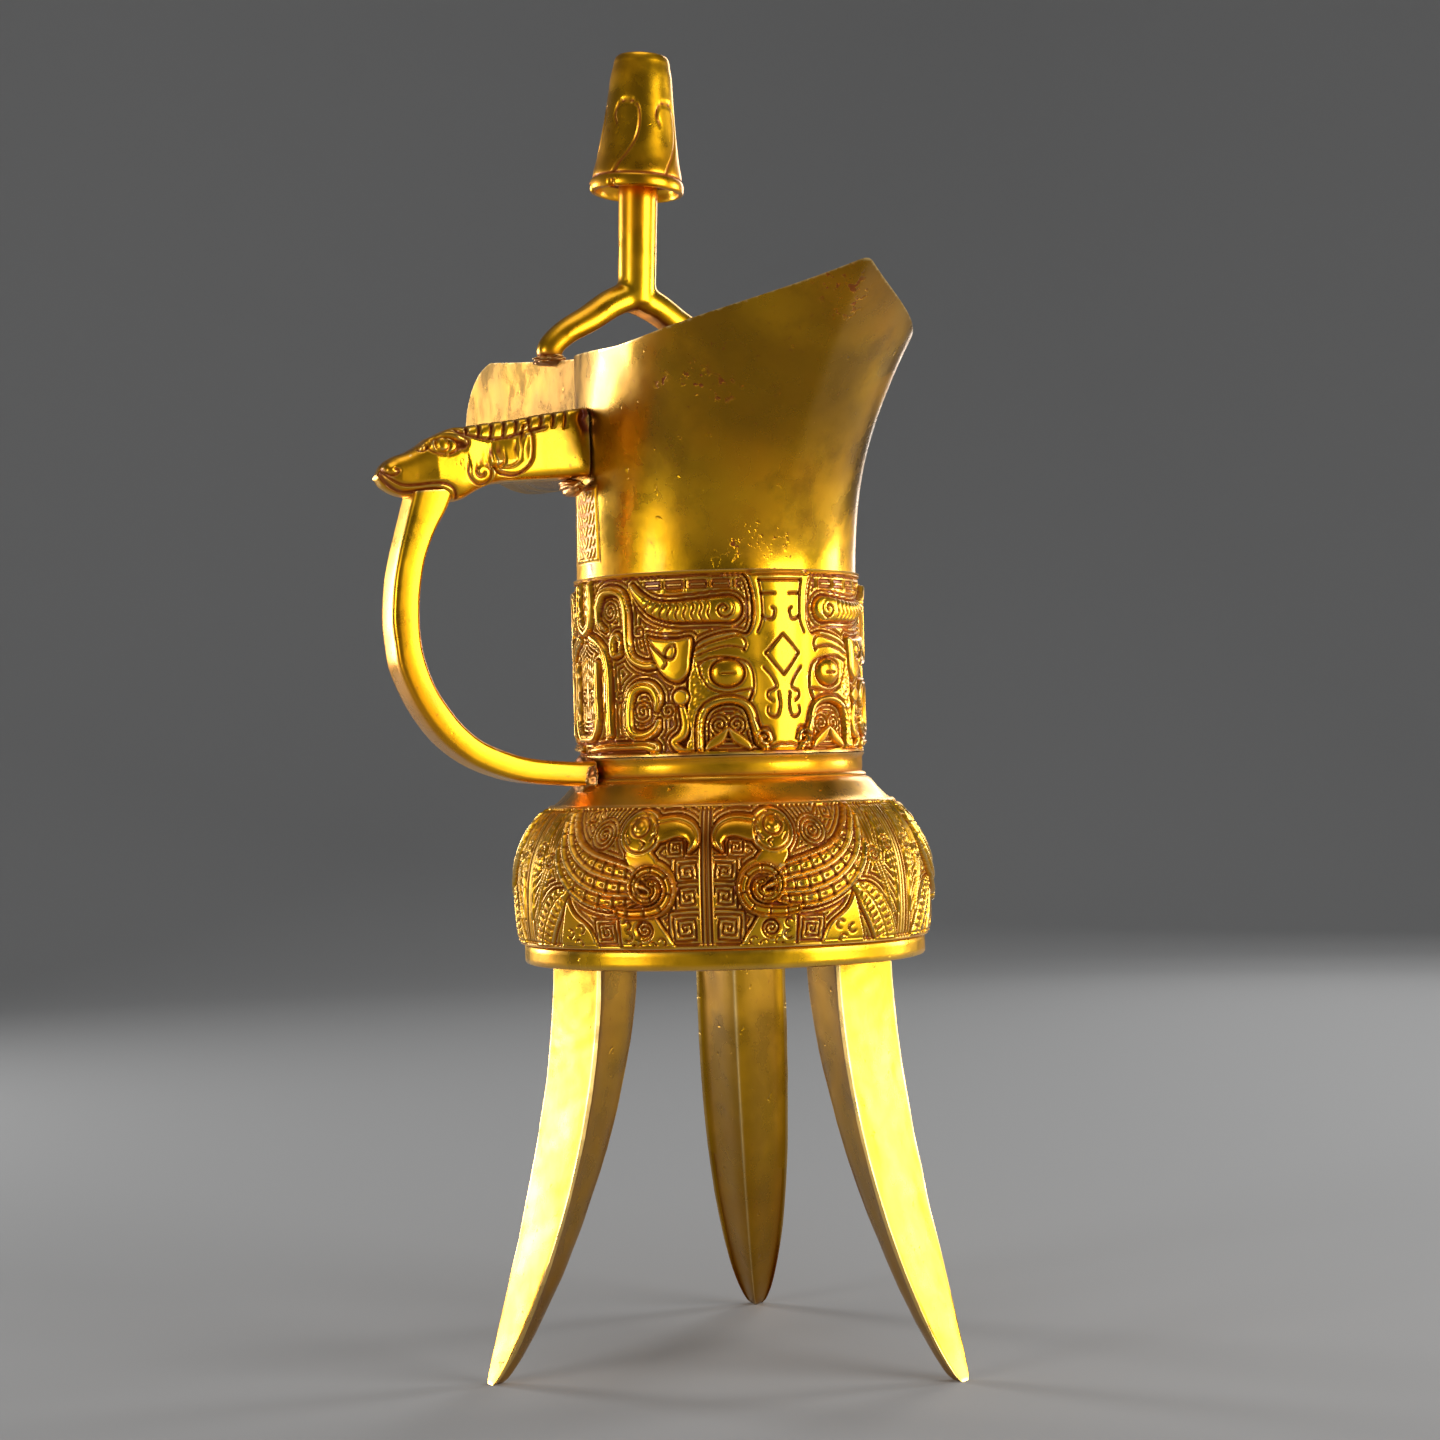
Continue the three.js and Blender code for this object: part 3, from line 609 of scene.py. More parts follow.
@dataclass
class CarvedBand:
    """A carved sheet that lies on the body, closed behind by a plain back.

    Attributes:
        low: Level of the band's lower edge.
        height: Height of the band.
        radius: Radius that turns degrees into arc.
        half_degrees: Angle from the motif's centre line to its end.
        pitch: Size of the grid cells.
        gain: How much the drawn heights are raised.
        sink: How far the back lies under the plain surface.
    """

    low: float
    height: float
    radius: float
    half_degrees: float
    pitch: float
    gain: float = 1.35
    sink: float = 1.1

    def draw(self, carving: Carving) -> None:
        """Draw the half motif."""
        raise NotImplementedError

    def sheet(self, name: str, centre: float, level: Array, recess_and_shade: Array) -> Piece:
        """Wrap the height field on the body as a closed piece.

        Args:
            name: Name of the piece.
            centre: Angle of the motif's centre line in degrees.
            level: Heights of the whole motif, a row for each level.
            recess_and_shade: Depth in the carving of each point.

        Returns:
            The closed piece.
        """
        rows, columns = level.shape
        theta = math.radians(centre) + np.linspace(-1, 1, columns) * math.radians(self.half_degrees)
        heights = np.linspace(0, self.height, rows) + self.low
        heights[-1] -= 1e-4
        plain = np.array([FORM.radius(theta, z) for z in heights])
        back_rows = np.unique(np.linspace(0, rows - 1, 15).astype(int))
        outer = self.ring_points(plain + level, theta, heights)
        back = self.ring_points(plain[back_rows] - self.sink, theta, heights[back_rows])
        points = np.vstack([outer.reshape(-1, 3), back.reshape(-1, 3)])
        faces = self.grid_faces(rows, columns, 0, False)
        base = rows * columns
        count = len(back_rows)
        faces += self.grid_faces(count, columns, base, True)
        for i in range(columns - 1):
            faces.append((i, base + i, base + i + 1, i + 1))
            top, far = (rows - 1) * columns, base + (count - 1) * columns
            faces.append((top + i, top + i + 1, far + i + 1, far + i))
        left_front = [r * columns for r in range(rows)]
        left_back = [base + r * columns for r in range(count)]
        faces.append(tuple(left_front + left_back[::-1]))
        right_front = [r * columns + columns - 1 for r in range(rows)]
        right_back = [base + r * columns + columns - 1 for r in range(count)]
        faces.append(tuple(right_back + right_front[::-1]))
        piece = add_mesh(name, points, faces)
        set_recess_and_shade(piece, np.concatenate([recess_and_shade.ravel(), np.full(count * columns, 0.5)]))
        face_outwards(piece)
        shade(piece, 60)
        return piece

    @staticmethod
    def ring_points(radius: Array, theta: Array, heights: Array) -> Array:
        """Points of a grid of radii over angles and heights."""
        return round_axis(radius, theta, heights[:, None])

    @staticmethod
    def grid_faces(rows: int, columns: int, base: int, flip: bool) -> list[tuple[int, ...]]:
        """Quads of a grid whose points start at an index."""
        faces = []
        for r in range(rows - 1):
            for c in range(columns - 1):
                a = base + r * columns + c
                quad = (a, a + 1, a + columns + 1, a + columns)
                faces.append(quad[::-1] if flip else quad)
        return faces

    def recess_of(self, level: Array) -> Array:
        """How deep each point lies against its surroundings, from 0 to 1."""
        cells = max(int(round(0.55 / self.pitch)), 1)
        blurred = level
        for _ in range(2):
            blurred = self.box_blur(blurred, cells)
        return smoothstep(-0.06, 0.24, blurred - level)

    @staticmethod
    def box_blur(values: Array, cells: int) -> Array:
        """Mean over a square of cells about each point."""
        for axis in (0, 1):
            padded = np.pad(values, [(cells, cells) if a == axis else (0, 0) for a in (0, 1)], mode="edge")
            total = np.cumsum(padded, axis=axis)
            total = np.insert(total, 0, 0, axis=axis)
            width = 2 * cells + 1
            high = np.take(total, np.arange(width, total.shape[axis]), axis=axis)
            low = np.take(total, np.arange(0, total.shape[axis] - width), axis=axis)
            values = (high - low) / width
        return values

    def build(self, name: str, centres: Sequence[float]) -> list[Piece]:
        """Carve the motif once and lay a copy of it at each centre."""
        carving = Carving(self.radius, self.half_degrees, self.height, self.pitch)
        self.draw(carving)
        level = carving.mirrored(carving.level) * self.gain
        ground = smoothstep(0.05, 0.4, carving.mirrored(carving.clear))
        tint = ground * (0.16 + 0.5 * smoothstep(0.30 * self.gain, 0.04, level))
        recess_and_shade = np.maximum(self.recess_of(level), tint)
        return [
            self.sheet(
                f"{name}_{number}", centre, level, recess_and_shade,
            ) for number, centre in enumerate(centres, start=1)
        ]


GROUND_LINE = 0.34
LINE_PITCH = 0.86


def ground_lines(wave: Array) -> Array:
    """Raised lines of the ground from a wave of 0 to 1."""
    return GROUND_LINE * smoothstep(0.2, 0.75, wave)


class BirdFrieze(CarvedBand):
    """Belly frieze: owl-like birds face each other over a ground of squared spirals."""

    def draw(self, carving: Carving) -> None:
        """Draw one bird, from the line between two beaks to the corner behind its tail."""
        self.raise_bird(carving)
        self.fill_ground(carving)
        self.cut_details(carving)
        self.frame_edges(carving)

    def raise_bird(self, c: Carving) -> None:
        """Raise the bird's head, beak, wing, scroll, tail and leg."""
        self.wing = c.stroke([
            (16, 0.40, 1.6), (22, 0.43, 3.9), (28.5, 0.455, 4.6), (35, 0.52, 4.4), (40.5, 0.64, 3.5),
            (44, 0.79, 2.4), (46.5, 0.93, 1.5), (48, 1.04, 0.9),
        ])
        c.lift(self.wing.outside, 0.72 + 0.18 * self.wing.crown)
        self.beak = c.stroke([
            (13, 0.83, 2.3), (8.5, 0.85, 2.0), (4.8, 0.82, 1.7), (3.4, 0.745, 1.25), (4.6, 0.675, 0.35),
        ])
        c.lift(self.beak.outside, 0.6 + 0.75 * self.beak.crown)
        self.head = c.disc(18.9, 0.81, 4.15, 4.15)
        c.lift(self.head, 1.05 - 0.16 * np.clip(self.head / 4.15 + 1, 0, 1) ** 2)
        c.lift(c.stroke([(19.5, 0.66, 2.2), (17, 0.58, 2.4)]).outside, 0.8)
        self.scroll = c.stroke(self.scroll_points(c), 9)
        c.lift(c.disc(15.7, 0.425, 5.0, 5.0), 0.62)
        self.tail = c.stroke([(42, 0.40, 0.9), (45.5, 0.33, 2.3), (49, 0.2, 2.7), (52.5, 0.02, 2.6)])
        c.lift(self.tail.outside, 0.55 + 0.2 * self.tail.crown)
        self.plumes = [
            c.stroke([
                (48.4, 0.98, 0.8), (48.8, 0.8, 1.2), (49.3, 0.62, 1.6), (52, 0.42, 0.8), (54.5, 0.2, 0.4),
            ]),
            c.stroke([
                (53.2, 1.0, 0.8), (54.5, 0.84, 1.1), (55.2, 0.68, 1.4), (56.6, 0.45, 0.7), (57.2, 0.2, 0.4),
            ]),
        ]
        thigh = c.leaf([
            (24, -0.02), (24, 0.24), (20.5, 0.245), (15, 0.245), (12.2, 0.15), (10, 0.06), (9.6, -0.02),
        ])
        c.lift(thigh, 0.66)
        mountain = c.leaf([
            (41, 0.36), (38.6, 0.25), (33.8, 0.15), (32, 0.05), (32, -0.02), (43.5, -0.02), (42.6, 0.18),
        ])
        c.lift(mountain, 0.62)

    @staticmethod
    def scroll_points(c: Carving) -> list[tuple[float, float, float]]:
        """Points of the wing's scroll, from its underside round and into the middle."""
        points = []
        for i in range(15):
            share = i / 14
            angle = math.radians(-75 + 500 * share)
            reach = lerp(4.15, 1.0, share**1.15)
            degrees = 15.7 - math.degrees(reach * math.cos(angle) / c.radius)
            points.append((degrees, 0.425 + reach * math.sin(angle) / c.height, lerp(1.12, 0.7, share)))
        return [(24, 0.265, 0.9), (20, 0.25, 1.05), *points]

    def fill_ground(self, c: Carving) -> None:
        """Fill the ground with lines beside the bird and with squared and round spirals."""
        lines = waves(c.clear - 0.62, LINE_PITCH)
        cells = [
            (5.2, 0.53, LINE_PITCH, 0.95, 0.4, 3.2), (5.0, 0.36, LINE_PITCH, 0.95, 2.2, 3.2),
            (5.8, 0.14, LINE_PITCH, 0.9, 0.8, 3.4), (8.6, 0.70, 0.74, 0.9, 1.2, 1.9),
            (31.2, 0.80, 0.8, 0.0, 0.3, 3.1), (28.6, 0.12, 0.8, 1.0, 1.6, 2.6),
            (37.5, 0.93, 0.8, 0.7, 0.6, 1.6), (57.6, 0.5, 0.8, 0.2, 0.0, 0.2),
        ]
        wave = lines
        for degrees, share, pitch, square, turn, size in cells:
            spiral, reach = c.spiral(degrees, share, pitch, square, turn)
            inside = within(reach - size, 0.15)
            wave = lerp(wave, spiral, inside)
        edge_lines = waves(c.S - 0.45, LINE_PITCH)
        wave = np.where(c.S < 1.4, edge_lines, wave)
        corner = math.radians(60) * c.radius - c.S
        corner_lines = waves(corner, 0.9)
        wave = np.where(corner < 2.3, corner_lines, wave)
        ground = ground_lines(wave)
        c.level = np.where(c.clear > 0.25, np.maximum(c.level, ground), c.level)

    def cut_details(self, c: Carving) -> None:
        """Raise the wing's ribs and the scroll, and engrave the bird's small marks."""
        wing = self.wing
        share = wing.across / wing.half
        inside = smoothstep(0.1, -0.25, wing.outside)
        for rib in (-0.93, -0.34, 0.30, 0.93):
            away = (share - rib) * wing.half
            c.level += inside * 0.34 * hump(away, 0.30)
            c.level -= inside * 0.22 * hump(np.abs(away) - 0.62, 0.2)
        for row, middle in enumerate((-0.64, -0.02, 0.62)):
            beat = (wing.along / 2.5 + 0.37 * row) % 1.0
            tick = hump((beat - 0.5) * 2.5, 0.17)
            lane = smoothstep(0.30, 0.2, np.abs(share - middle))
            c.level -= inside * 0.28 * tick * lane
            bar = hump((share - middle) * wing.half, 0.2) * smoothstep(0.14, 0.22, beat - 0.55)
            c.level -= inside * 0.22 * bar * lane
        scroll = self.scroll
        ring = within(scroll.outside, 0.18)
        side = np.abs(scroll.across) / scroll.half
        profile = 0.98 + 0.50 * smoothstep(0.45, 0.82, side)
        c.level = np.maximum(c.level, ring * profile)
        c.engrave(np.abs(side - 0.5) * scroll.half + 10 * (scroll.outside > 0), 0.26, 0.17)
        beat = (scroll.along / 3.1) % 1.0
        tick = hump((beat - 0.5) * 3.1, 0.18) * smoothstep(0.55, 0.35, side)
        c.level -= ring * 0.3 * tick
        self.cut_head(c)
        self.cut_tail(c)

    def cut_head(self, c: Carving) -> None:
        """Engrave the eye, the head's ring and marks, and the beak's line."""
        c.engrave(self.head + 0.75, 0.3, 0.2)
        eye = c.disc(19.2, 0.85, 1.75, 1.75)
        c.engrave(eye, 0.34, 0.2)
        c.level += 0.42 * np.clip(1 - (np.clip(eye / 1.75 + 1, 0, 2) / 0.62) ** 2, 0, 1) ** 0.6
        for start, end in (
            ((16.0, 0.755), (14.6, 0.79)),
            ((14.6, 0.79), (14.2, 0.755)),
            ((18.2, 0.70), (17.4, 0.735)),
            ((17.4, 0.735), (18.6, 0.755)),
            ((22.4, 0.88), (21.2, 0.915)),
            ((22.6, 0.78), (21.8, 0.745)),
            ((17.6, 0.925), (18.8, 0.94)),
        ):
            middle = ((start[0] + end[0]) / 2, (start[1] + end[1]) / 2)
            c.line([start, middle, end], 0.3, 0.18)
        beak_line = np.abs(self.beak.across + 0.55 * self.beak.half) + 10 * (self.beak.outside > 0)
        c.engrave(beak_line, 0.24, 0.18)

    def cut_tail(self, c: Carving) -> None:
        """Engrave the tail's bars, the plumes, and the curls on thigh and haunch."""
        tail = self.tail
        inside = smoothstep(0.1, -0.2, tail.outside)
        c.engrave(np.abs(tail.across) + 10 * (tail.outside > -0.1), 0.24, 0.18)
        c.engrave(np.abs(np.abs(tail.across) - 0.8 * tail.half) + 10 * (tail.outside > 0), 0.24, 0.18)
        beat = ((tail.along + 0.5 * np.sign(tail.across)) / 1.35) % 1.0
        side = np.abs(tail.across / tail.half)
        lane = smoothstep(0.12, 0.25, side) * smoothstep(0.8, 0.66, side)
        c.level -= inside * 0.3 * hump((beat - 0.5) * 1.35, 0.2) * lane
        for number, plume in enumerate(self.plumes):
            body = within(plume.outside, 0.2)
            lines = waves(plume.across, 0.78)
            c.level = lerp(c.level, 0.24 + 0.34 * lines, body)
            spot = ((49.2, 0.62), (55.2, 0.69))[number]
            spiral, reach = c.spiral(*spot, 0.72, 0.0, 0.5)
            eye = within(reach - 1.55, 0.2)
            c.level = lerp(c.level, 0.2 + 0.4 * spiral, eye)
        spiral, reach = c.spiral(17.4, 0.135, 0.78, 0.0, 1.0)
        spot = within(reach - 1.75, 0.2)
        c.level = lerp(c.level, ground_lines(spiral), spot)
        on_thigh = ((12.6, 0.05, 1), (15.5, 0.025, 1), (19.6, 0.05, -1), (22.3, 0.17, 1), (22, 0.09, -1))
        on_haunch = ((36.5, 0.14, 1), (40.2, 0.11, -1), (37.6, 0.04, 1))
        for degrees, share, sense in (*on_thigh, *on_haunch):
            self.curl(c, degrees, share, sense)

    @staticmethod
    def curl(c: Carving, degrees: float, share: float, sense: int) -> None:
        """Engrave a small open curl."""
        points = []
        for i in range(6):
            angle = math.radians(40 + 46 * i) * sense
            points.append((degrees + 1.15 * math.cos(angle), share + 0.03 * math.sin(angle)))
        c.line(points, 0.28, 0.17)

    @staticmethod
    def frame_edges(c: Carving) -> None:
        """Finish the upper and lower edge with a plain line and a groove."""
        for edge in (c.Z, c.height - c.Z):
            c.level = lerp(c.level, 0.40, smoothstep(0.62, 0.42, edge))
            c.engrave(edge - 0.85, 0.2, 0.18)
        c.level = np.clip(c.level, 0.0, None)


class MaskBand(CarvedBand):
    """Waist band: a monster mask on each side, its nose between ribbed horns and round eyes."""

    def draw(self, carving: Carving) -> None:
        """Draw half a mask, from the middle of its nose to the join with the next mask."""
        self.raise_face(carving)
        self.raise_body(carving)
        self.fill_ground(carving)
        self.cut_horn(carving)
        self.cut_nose(carving)
        self.cut_face(carving)
        self.frame_edges(carving)

    def raise_face(self, c: Carving) -> None:
        """Raise the face, with its mouth left low, the ear, the horn and the jaw's curl."""
        self.mouth = c.leaf([
            (31.3, 0.02), (31.3, 0.16), (28.6, 0.245), (21.5, 0.275), (15.4, 0.245), (13.0, 0.15),
            (11.6, 0.06), (10.2, 0.02),
        ])
        self.face = c.leaf([
            (-6, 1.02), (14.5, 1.02), (12.4, 0.94), (11.0, 0.85), (10.8, 0.76), (11.6, 0.69), (14.0, 0.645),
            (19, 0.66), (26, 0.645), (33, 0.60), (35, 0.51), (36.6, 0.42), (37.0, 0.34), (37.4, 0.22),
            (36.4, 0.12), (38.2, 0.05), (36, -0.02), (10, -0.02), (-6, -0.02),
        ])
        face = np.maximum(self.face, -self.mouth)
        c.lift(face, 0.82)
        self.horn = c.stroke([
            (20.6, 0.785, 2.35), (25, 0.785, 2.25), (34, 0.78, 2.0), (43, 0.78, 1.8), (50.5, 0.805, 1.4),
            (56, 0.865, 0.9), (59.5, 0.93, 0.35),
        ])
        c.lift(self.horn.outside, 0.45 + 0.72 * self.horn.crown)
        self.ear = c.leaf([
            (53.4, 0.65), (48, 0.635), (41, 0.63), (35.2, 0.635), (35.6, 0.52), (36.6, 0.44), (41, 0.395),
            (46.4, 0.43), (50.6, 0.52),
        ])
        c.lift(self.ear, 0.98 + 0.12 * np.clip(-self.ear / 1.5, 0, 1))
        self.bulb = c.disc(39.6, 0.315, 1.5, 1.5)
        c.lift(self.bulb, 1.15)
        self.jaw = c.stroke([
            (39.8, 0.29, 0.6), (38.7, 0.22, 0.72), (38.2, 0.16, 0.8), (39.6, 0.11, 0.85),
            (43.2, 0.075, 0.6), (40.4, 0.03, 0.7), (37.5, 0.02, 0.6),
        ])
        c.lift(self.jaw.outside, 0.75 + 0.3 * self.jaw.crown)

    def raise_body(self, c: Carving) -> None:
        """Raise the curling bands of the body beside the face."""
        bands = (
            [(50.0, 0.255, 0.5), (49.2, 0.31, 1.0), (51.6, 0.37, 1.05), (56.6, 0.385, 1.0), (61, 0.35, 1.0),
             (62.8, 0.26, 0.95), (62.8, 0.16, 0.95), (60, 0.115, 0.95), (54.6, 0.115, 0.9),
             (50.4, 0.15, 0.8), (49.2, 0.195, 0.35)],
            [(50.2, 0.50, 0.85), (55, 0.50, 0.85), (60, 0.535, 0.8), (62.0, 0.60, 0.75), (62.4, 0.70, 0.75),
             (62.6, 0.80, 0.8), (64.8, 0.885, 0.85), (70, 0.915, 0.85), (76, 0.90, 0.85), (79.4, 0.82, 0.8),
             (78.6, 0.74, 0.6), (74.6, 0.70, 0.4)],
            [(84.5, 0.66, 0.9), (79.5, 0.63, 0.9), (75.4, 0.57, 0.9), (73.6, 0.46, 0.9), (73.4, 0.30, 0.9),
             (73.0, 0.13, 0.9)],
            [(80.6, 0.52, 0.7), (81.2, 0.36, 0.9), (80.8, 0.20, 0.9), (84, 0.12, 0.8), (89, 0.11, 0.8)],
            [(51.5, 0.045, 1.25), (55, 0.06, 0.9), (62, 0.06, 0.75), (72, 0.06, 0.75), (84, 0.05, 0.75)],
            [(66.4, 0.565, 0.45), (69.6, 0.56, 0.6), (70.4, 0.62, 0.6), (68.2, 0.665, 0.6),
             (66.0, 0.63, 0.5), (66.4, 0.59, 0.4)],
            [(85.6, 0.98, 0.8), (84.4, 0.86, 0.9), (85.8, 0.74, 0.9), (90, 0.70, 0.9)],
        )
        self.bands = [c.stroke(points) for points in bands]
        for band in self.bands:
            c.lift(band.outside, 0.62 + 0.34 * band.crown)

    def fill_ground(self, c: Carving) -> None:
        """Fill the ground with lines that run beside the forms, keys above, and small spirals."""
        lines = waves(c.clear - 0.6, 0.84)
        wave = lines
        for degrees, share, pitch, square, turn, size in (
            (72.0, 0.80, 0.8, 0.1, 0.5, 2.3), (56.4, 0.245, 0.8, 0.3, 2.6, 2.2),
            (68.0, 0.33, 0.8, 0.6, 0.0, 1.2), (68.2, 0.615, 0.7, 0.2, 0.0, 0.7),
            (57.4, 0.68, 0.8, 0.5, 1.2, 1.3), (45.4, 0.245, 0.8, 0.2, 0.6, 1.6),
            (86.2, 0.34, 0.8, 0.3, 0.6, 1.5),
        ):
            spiral, reach = c.spiral(degrees, share, pitch, square, turn)
            wave = lerp(wave, spiral, within(reach - size, 0.15))
        keys = self.keys(c)
        lane = within(np.abs(c.Z - 0.925 * c.height) - 1.15, 0.2)
        span = within(np.abs(c.S - c.place(36, 0)[0]) - c.place(20.5, 0)[0], 0.4)
        wave = lerp(wave, keys, lane * span * (c.clear > 0.9))
        ground = ground_lines(wave)
        c.level = np.where(c.clear > 0.25, np.maximum(c.level, ground), c.level)
        spiral_a, reach_a = c.spiral(18.6, 0.16, 0.78, 0.0, 0.5)
        spiral_b, reach_b = c.spiral(25.2, 0.16, 0.78, 0.0, 0.5, -1)
        inner = within(self.mouth, 0.1)
        leaves = np.where(reach_a < reach_b, spiral_a, spiral_b)
        near = within(np.minimum(reach_a, reach_b) - 2.1, 0.2)
        teeth = waves(-self.mouth - 0.5, 0.84)
        wave = lerp(teeth, leaves, near)
        c.level = np.where(inner > 0.5, ground_lines(wave), c.level)

    @staticmethod
    def keys(c: Carving) -> Array:
        """Row of squared keys: short bars hooked into each other."""
        cell = 4.3
        u = (c.S / cell) % 1.0
        w = (c.Z - 0.925 * c.height) / 1.15
        upper = hump(w - 0.85, 0.2)
        lower = hump(w + 0.85, 0.2)
        middle = hump(w, 0.18) * ((u > 0.2) & (u < 0.8))
        post = hump((u - 0.06) * cell, 0.17) + hump((u - 0.94) * cell, 0.17)
        return np.clip(upper + lower + middle + post, 0, 1)

    def cut_horn(self, c: Carving) -> None:
        """Rib the horn, curl its inner end, and round it off."""
        horn = self.horn
        inside = smoothstep(0.1, -0.3, horn.outside)
        wavy = 0.22 * np.sin(2.2 * horn.across)
        beat = ((horn.along + wavy) / 1.42) % 1.0
        ribs = hump((beat - 0.5) * 1.42, 0.2)
        from_end = smoothstep(3.0, 3.6, horn.along) * smoothstep(16.6, 15.4, horn.along)
        c.level -= inside * from_end * 0.34 * ribs
        spiral, reach = c.spiral(22.4, 0.785, 1.25, 0.0, 2.2, -1)
        spot = within(reach - 1.7, 0.2) * inside
        c.level -= spot * 0.36 * smoothstep(0.55, 0.95, 1 - spiral)

    def cut_nose(self, c: Carving) -> None:
        """Engrave the panel, strokes, diamond and curls down the nose."""
        c.level += 0.2 * within(self.face, 0.4) * smoothstep(4.6, 1.0, c.S)
        lines = (
            [(0, 0.94), (4.5, 0.94), (8.9, 0.94)],
            [(8.9, 0.94), (8.0, 0.86), (7.7, 0.75), (8.4, 0.70), (9.8, 0.656)],
            [(8.0, 0.866), (5.5, 0.868), (3.0, 0.866)],
            [(7.7, 0.745), (5.6, 0.728), (3.7, 0.735), (3.0, 0.775), (4.1, 0.79)],
            [(0, 0.646), (3.5, 0.595), (6.8, 0.543)],
            [(6.8, 0.543), (3.6, 0.485), (0, 0.426)],
            [(7.8, 0.467), (5.0, 0.42), (3.1, 0.366), (4.6, 0.345), (6.2, 0.335), (6.4, 0.305),
             (4.8, 0.286)],
            [(2.4, 0.33), (1.9, 0.26), (3.0, 0.205), (5.2, 0.20), (6.6, 0.222), (6.4, 0.25)],
            [(0, 0.05), (2.6, 0.052), (5.2, 0.04)],
        )
        for points in lines:
            c.line(points, 0.34, 0.21)
        spiral, reach = c.spiral(8.3, 0.085, 1.25, 0.0, 2.6, -1)
        spot = within(reach - 1.5, 0.2)
        c.level += spot * (0.34 - 0.5 * smoothstep(0.5, 0.95, 1 - spiral))
        c.line([(4.9, 0.08), (6.4, 0.14), (9.4, 0.145), (11.4, 0.19)], 0.36, 0.22)

    def cut_face(self, c: Carving) -> None:
        """Cut the eye, brow, lips, ear and jaw, and the lines along the body's bands."""
        eye = c.disc(21.7, 0.44, 2.85, 2.45)
        dome = np.clip(1 - np.clip(eye / 2.64 + 1, 0, 2) ** 2, 0, 1) ** 0.5
        c.engrave(eye - 0.15, 0.42, 0.24)
        c.level = np.maximum(c.level, np.where(eye < 0, 0.62 + 0.82 * dome, 0))
        c.line([(19.3, 0.437), (21.7, 0.437), (24.1, 0.437)], 0.26, 0.16)
        c.line(
            [(32.4, 0.50), (27, 0.525), (20, 0.52), (14.6, 0.50), (12.3, 0.455), (11.6, 0.39), (12.0, 0.33),
             (13.4, 0.292)],
            0.36, 0.21,
        )
        c.line(
            [(13.4, 0.292), (12.6, 0.345), (16, 0.345), (22, 0.335), (28, 0.355), (31.5, 0.42),
             (33.2, 0.50)],
            0.36, 0.21,
        )
        c.line(
            [(34.4, 0.565), (29, 0.60), (23, 0.625), (16.8, 0.64), (14.3, 0.60), (15.0, 0.562)],
            0.36, 0.22,
        )
        c.line([(33.5, 0.535), (28, 0.565), (22, 0.585), (17.0, 0.578), (15.0, 0.562)], 0.3, 0.2)
        stipple = smooth_noise(5, np.stack([c.S, c.Z], axis=-1), 0.7)
        around = within(self.face + 0.5, 0.3) * smoothstep(1.0, 3.0, c.S - c.place(24, 0)[0])
        c.level += 0.07 * stipple * around * (eye > 0.3)
        lip = np.abs(self.mouth - 1.5) + 10 * (self.face > 0.2)
        c.engrave(lip, 0.34, 0.22)
        c.level += 0.28 * hump(self.mouth - 0.7, 0.5) * (self.face < 0.1)
        self.cut_fang(c)
        c.engrave(np.abs(self.ear) - 0.1, 0.24, 0.24)
        c.line(
            [(52.2, 0.625), (49.0, 0.575), (45.6, 0.535), (42.6, 0.525), (41.2, 0.56), (41.6, 0.60)],
            0.36, 0.22,
        )
        c.line([(45.6, 0.535), (44.6, 0.575), (42.6, 0.60)], 0.3, 0.2)
        c.line([(45.6, 0.535), (44.8, 0.50), (46.2, 0.475)], 0.3, 0.2)
        c.engrave(np.abs(self.bulb), 0.3, 0.2)
        for band in self.bands:
            middle = np.abs(band.across - 0.3 * band.half) + 10 * (band.outside > -0.1)
            c.engrave(middle, 0.3, 0.17)

    def cut_fang(self, c: Carving) -> None:
        """Raise the two curved teeth in the mouth."""
        for sense in (1, -1):
            stops = ((0.4, 0.135, 0.35), (3.2, 0.09, 0.9), (6.8, 0.055, 0.75), (8.4, 0.03, 0.4))
            tooth = c.stroke([(21.9 + sense * aside, share, half) for aside, share, half in stops])
            inside = within(self.mouth, 0.1) * within(tooth.outside, 0.2)
            c.level = np.maximum(c.level, inside * (0.6 + 0.25 * tooth.crown))

    @staticmethod
    def frame_edges(c: Carving) -> None:
        """Finish the edges with two fine lines above and a plain line below."""
        top = c.height - c.Z
        c.level = lerp(c.level, 0.5, smoothstep(0.75, 0.6, top) * (1 - smoothstep(3.5, 2.0, c.S - 2.4)))
        c.engrave(top - 0.95, 0.26, 0.17)
        c.engrave(top - 0.32, 0.2, 0.15)
        c.level = lerp(c.level, 0.5, smoothstep(0.6, 0.45, c.Z))
        c.engrave(c.Z - 0.8, 0.24, 0.18)
        c.level = np.clip(c.level, 0.0, None)


class MarkPanel(CarvedBand):
    """Framed panel under the animal's head, with rows of short cast strokes that spell nothing."""

    def draw(self, carving: Carving) -> None:
        """Draw half the panel: its frame, and bent and straight strokes in rows."""
        c = carving
        side = c.s[-1] - c.S
        edge = np.minimum(np.minimum(c.Z, c.height - c.Z), side)
        c.level = 0.06 + 0.24 * hump(edge - 0.75, 0.28)
        c.clear = 1.2 - 1.2 * smoothstep(1.1, 0.5, edge)
        rows = 6
        for row in range(rows):
            share = 0.12 + 0.76 * row / (rows - 1)
            lean = 0.7 if row % 2 else -0.7
            for column, degrees in enumerate((1.2, 4.4, 7.4)):
                rise = 0.05 if (row + column) % 3 else 0.02
                points = [
                    (degrees - 0.9, share - rise, 0.26), (degrees + 0.3 * lean, share, 0.3),
                    (degrees + 0.9, share + rise, 0.24),
                ]
                stroke = c.stroke(points, 4)
                c.level += 0.2 * within(stroke.outside, 0.16)


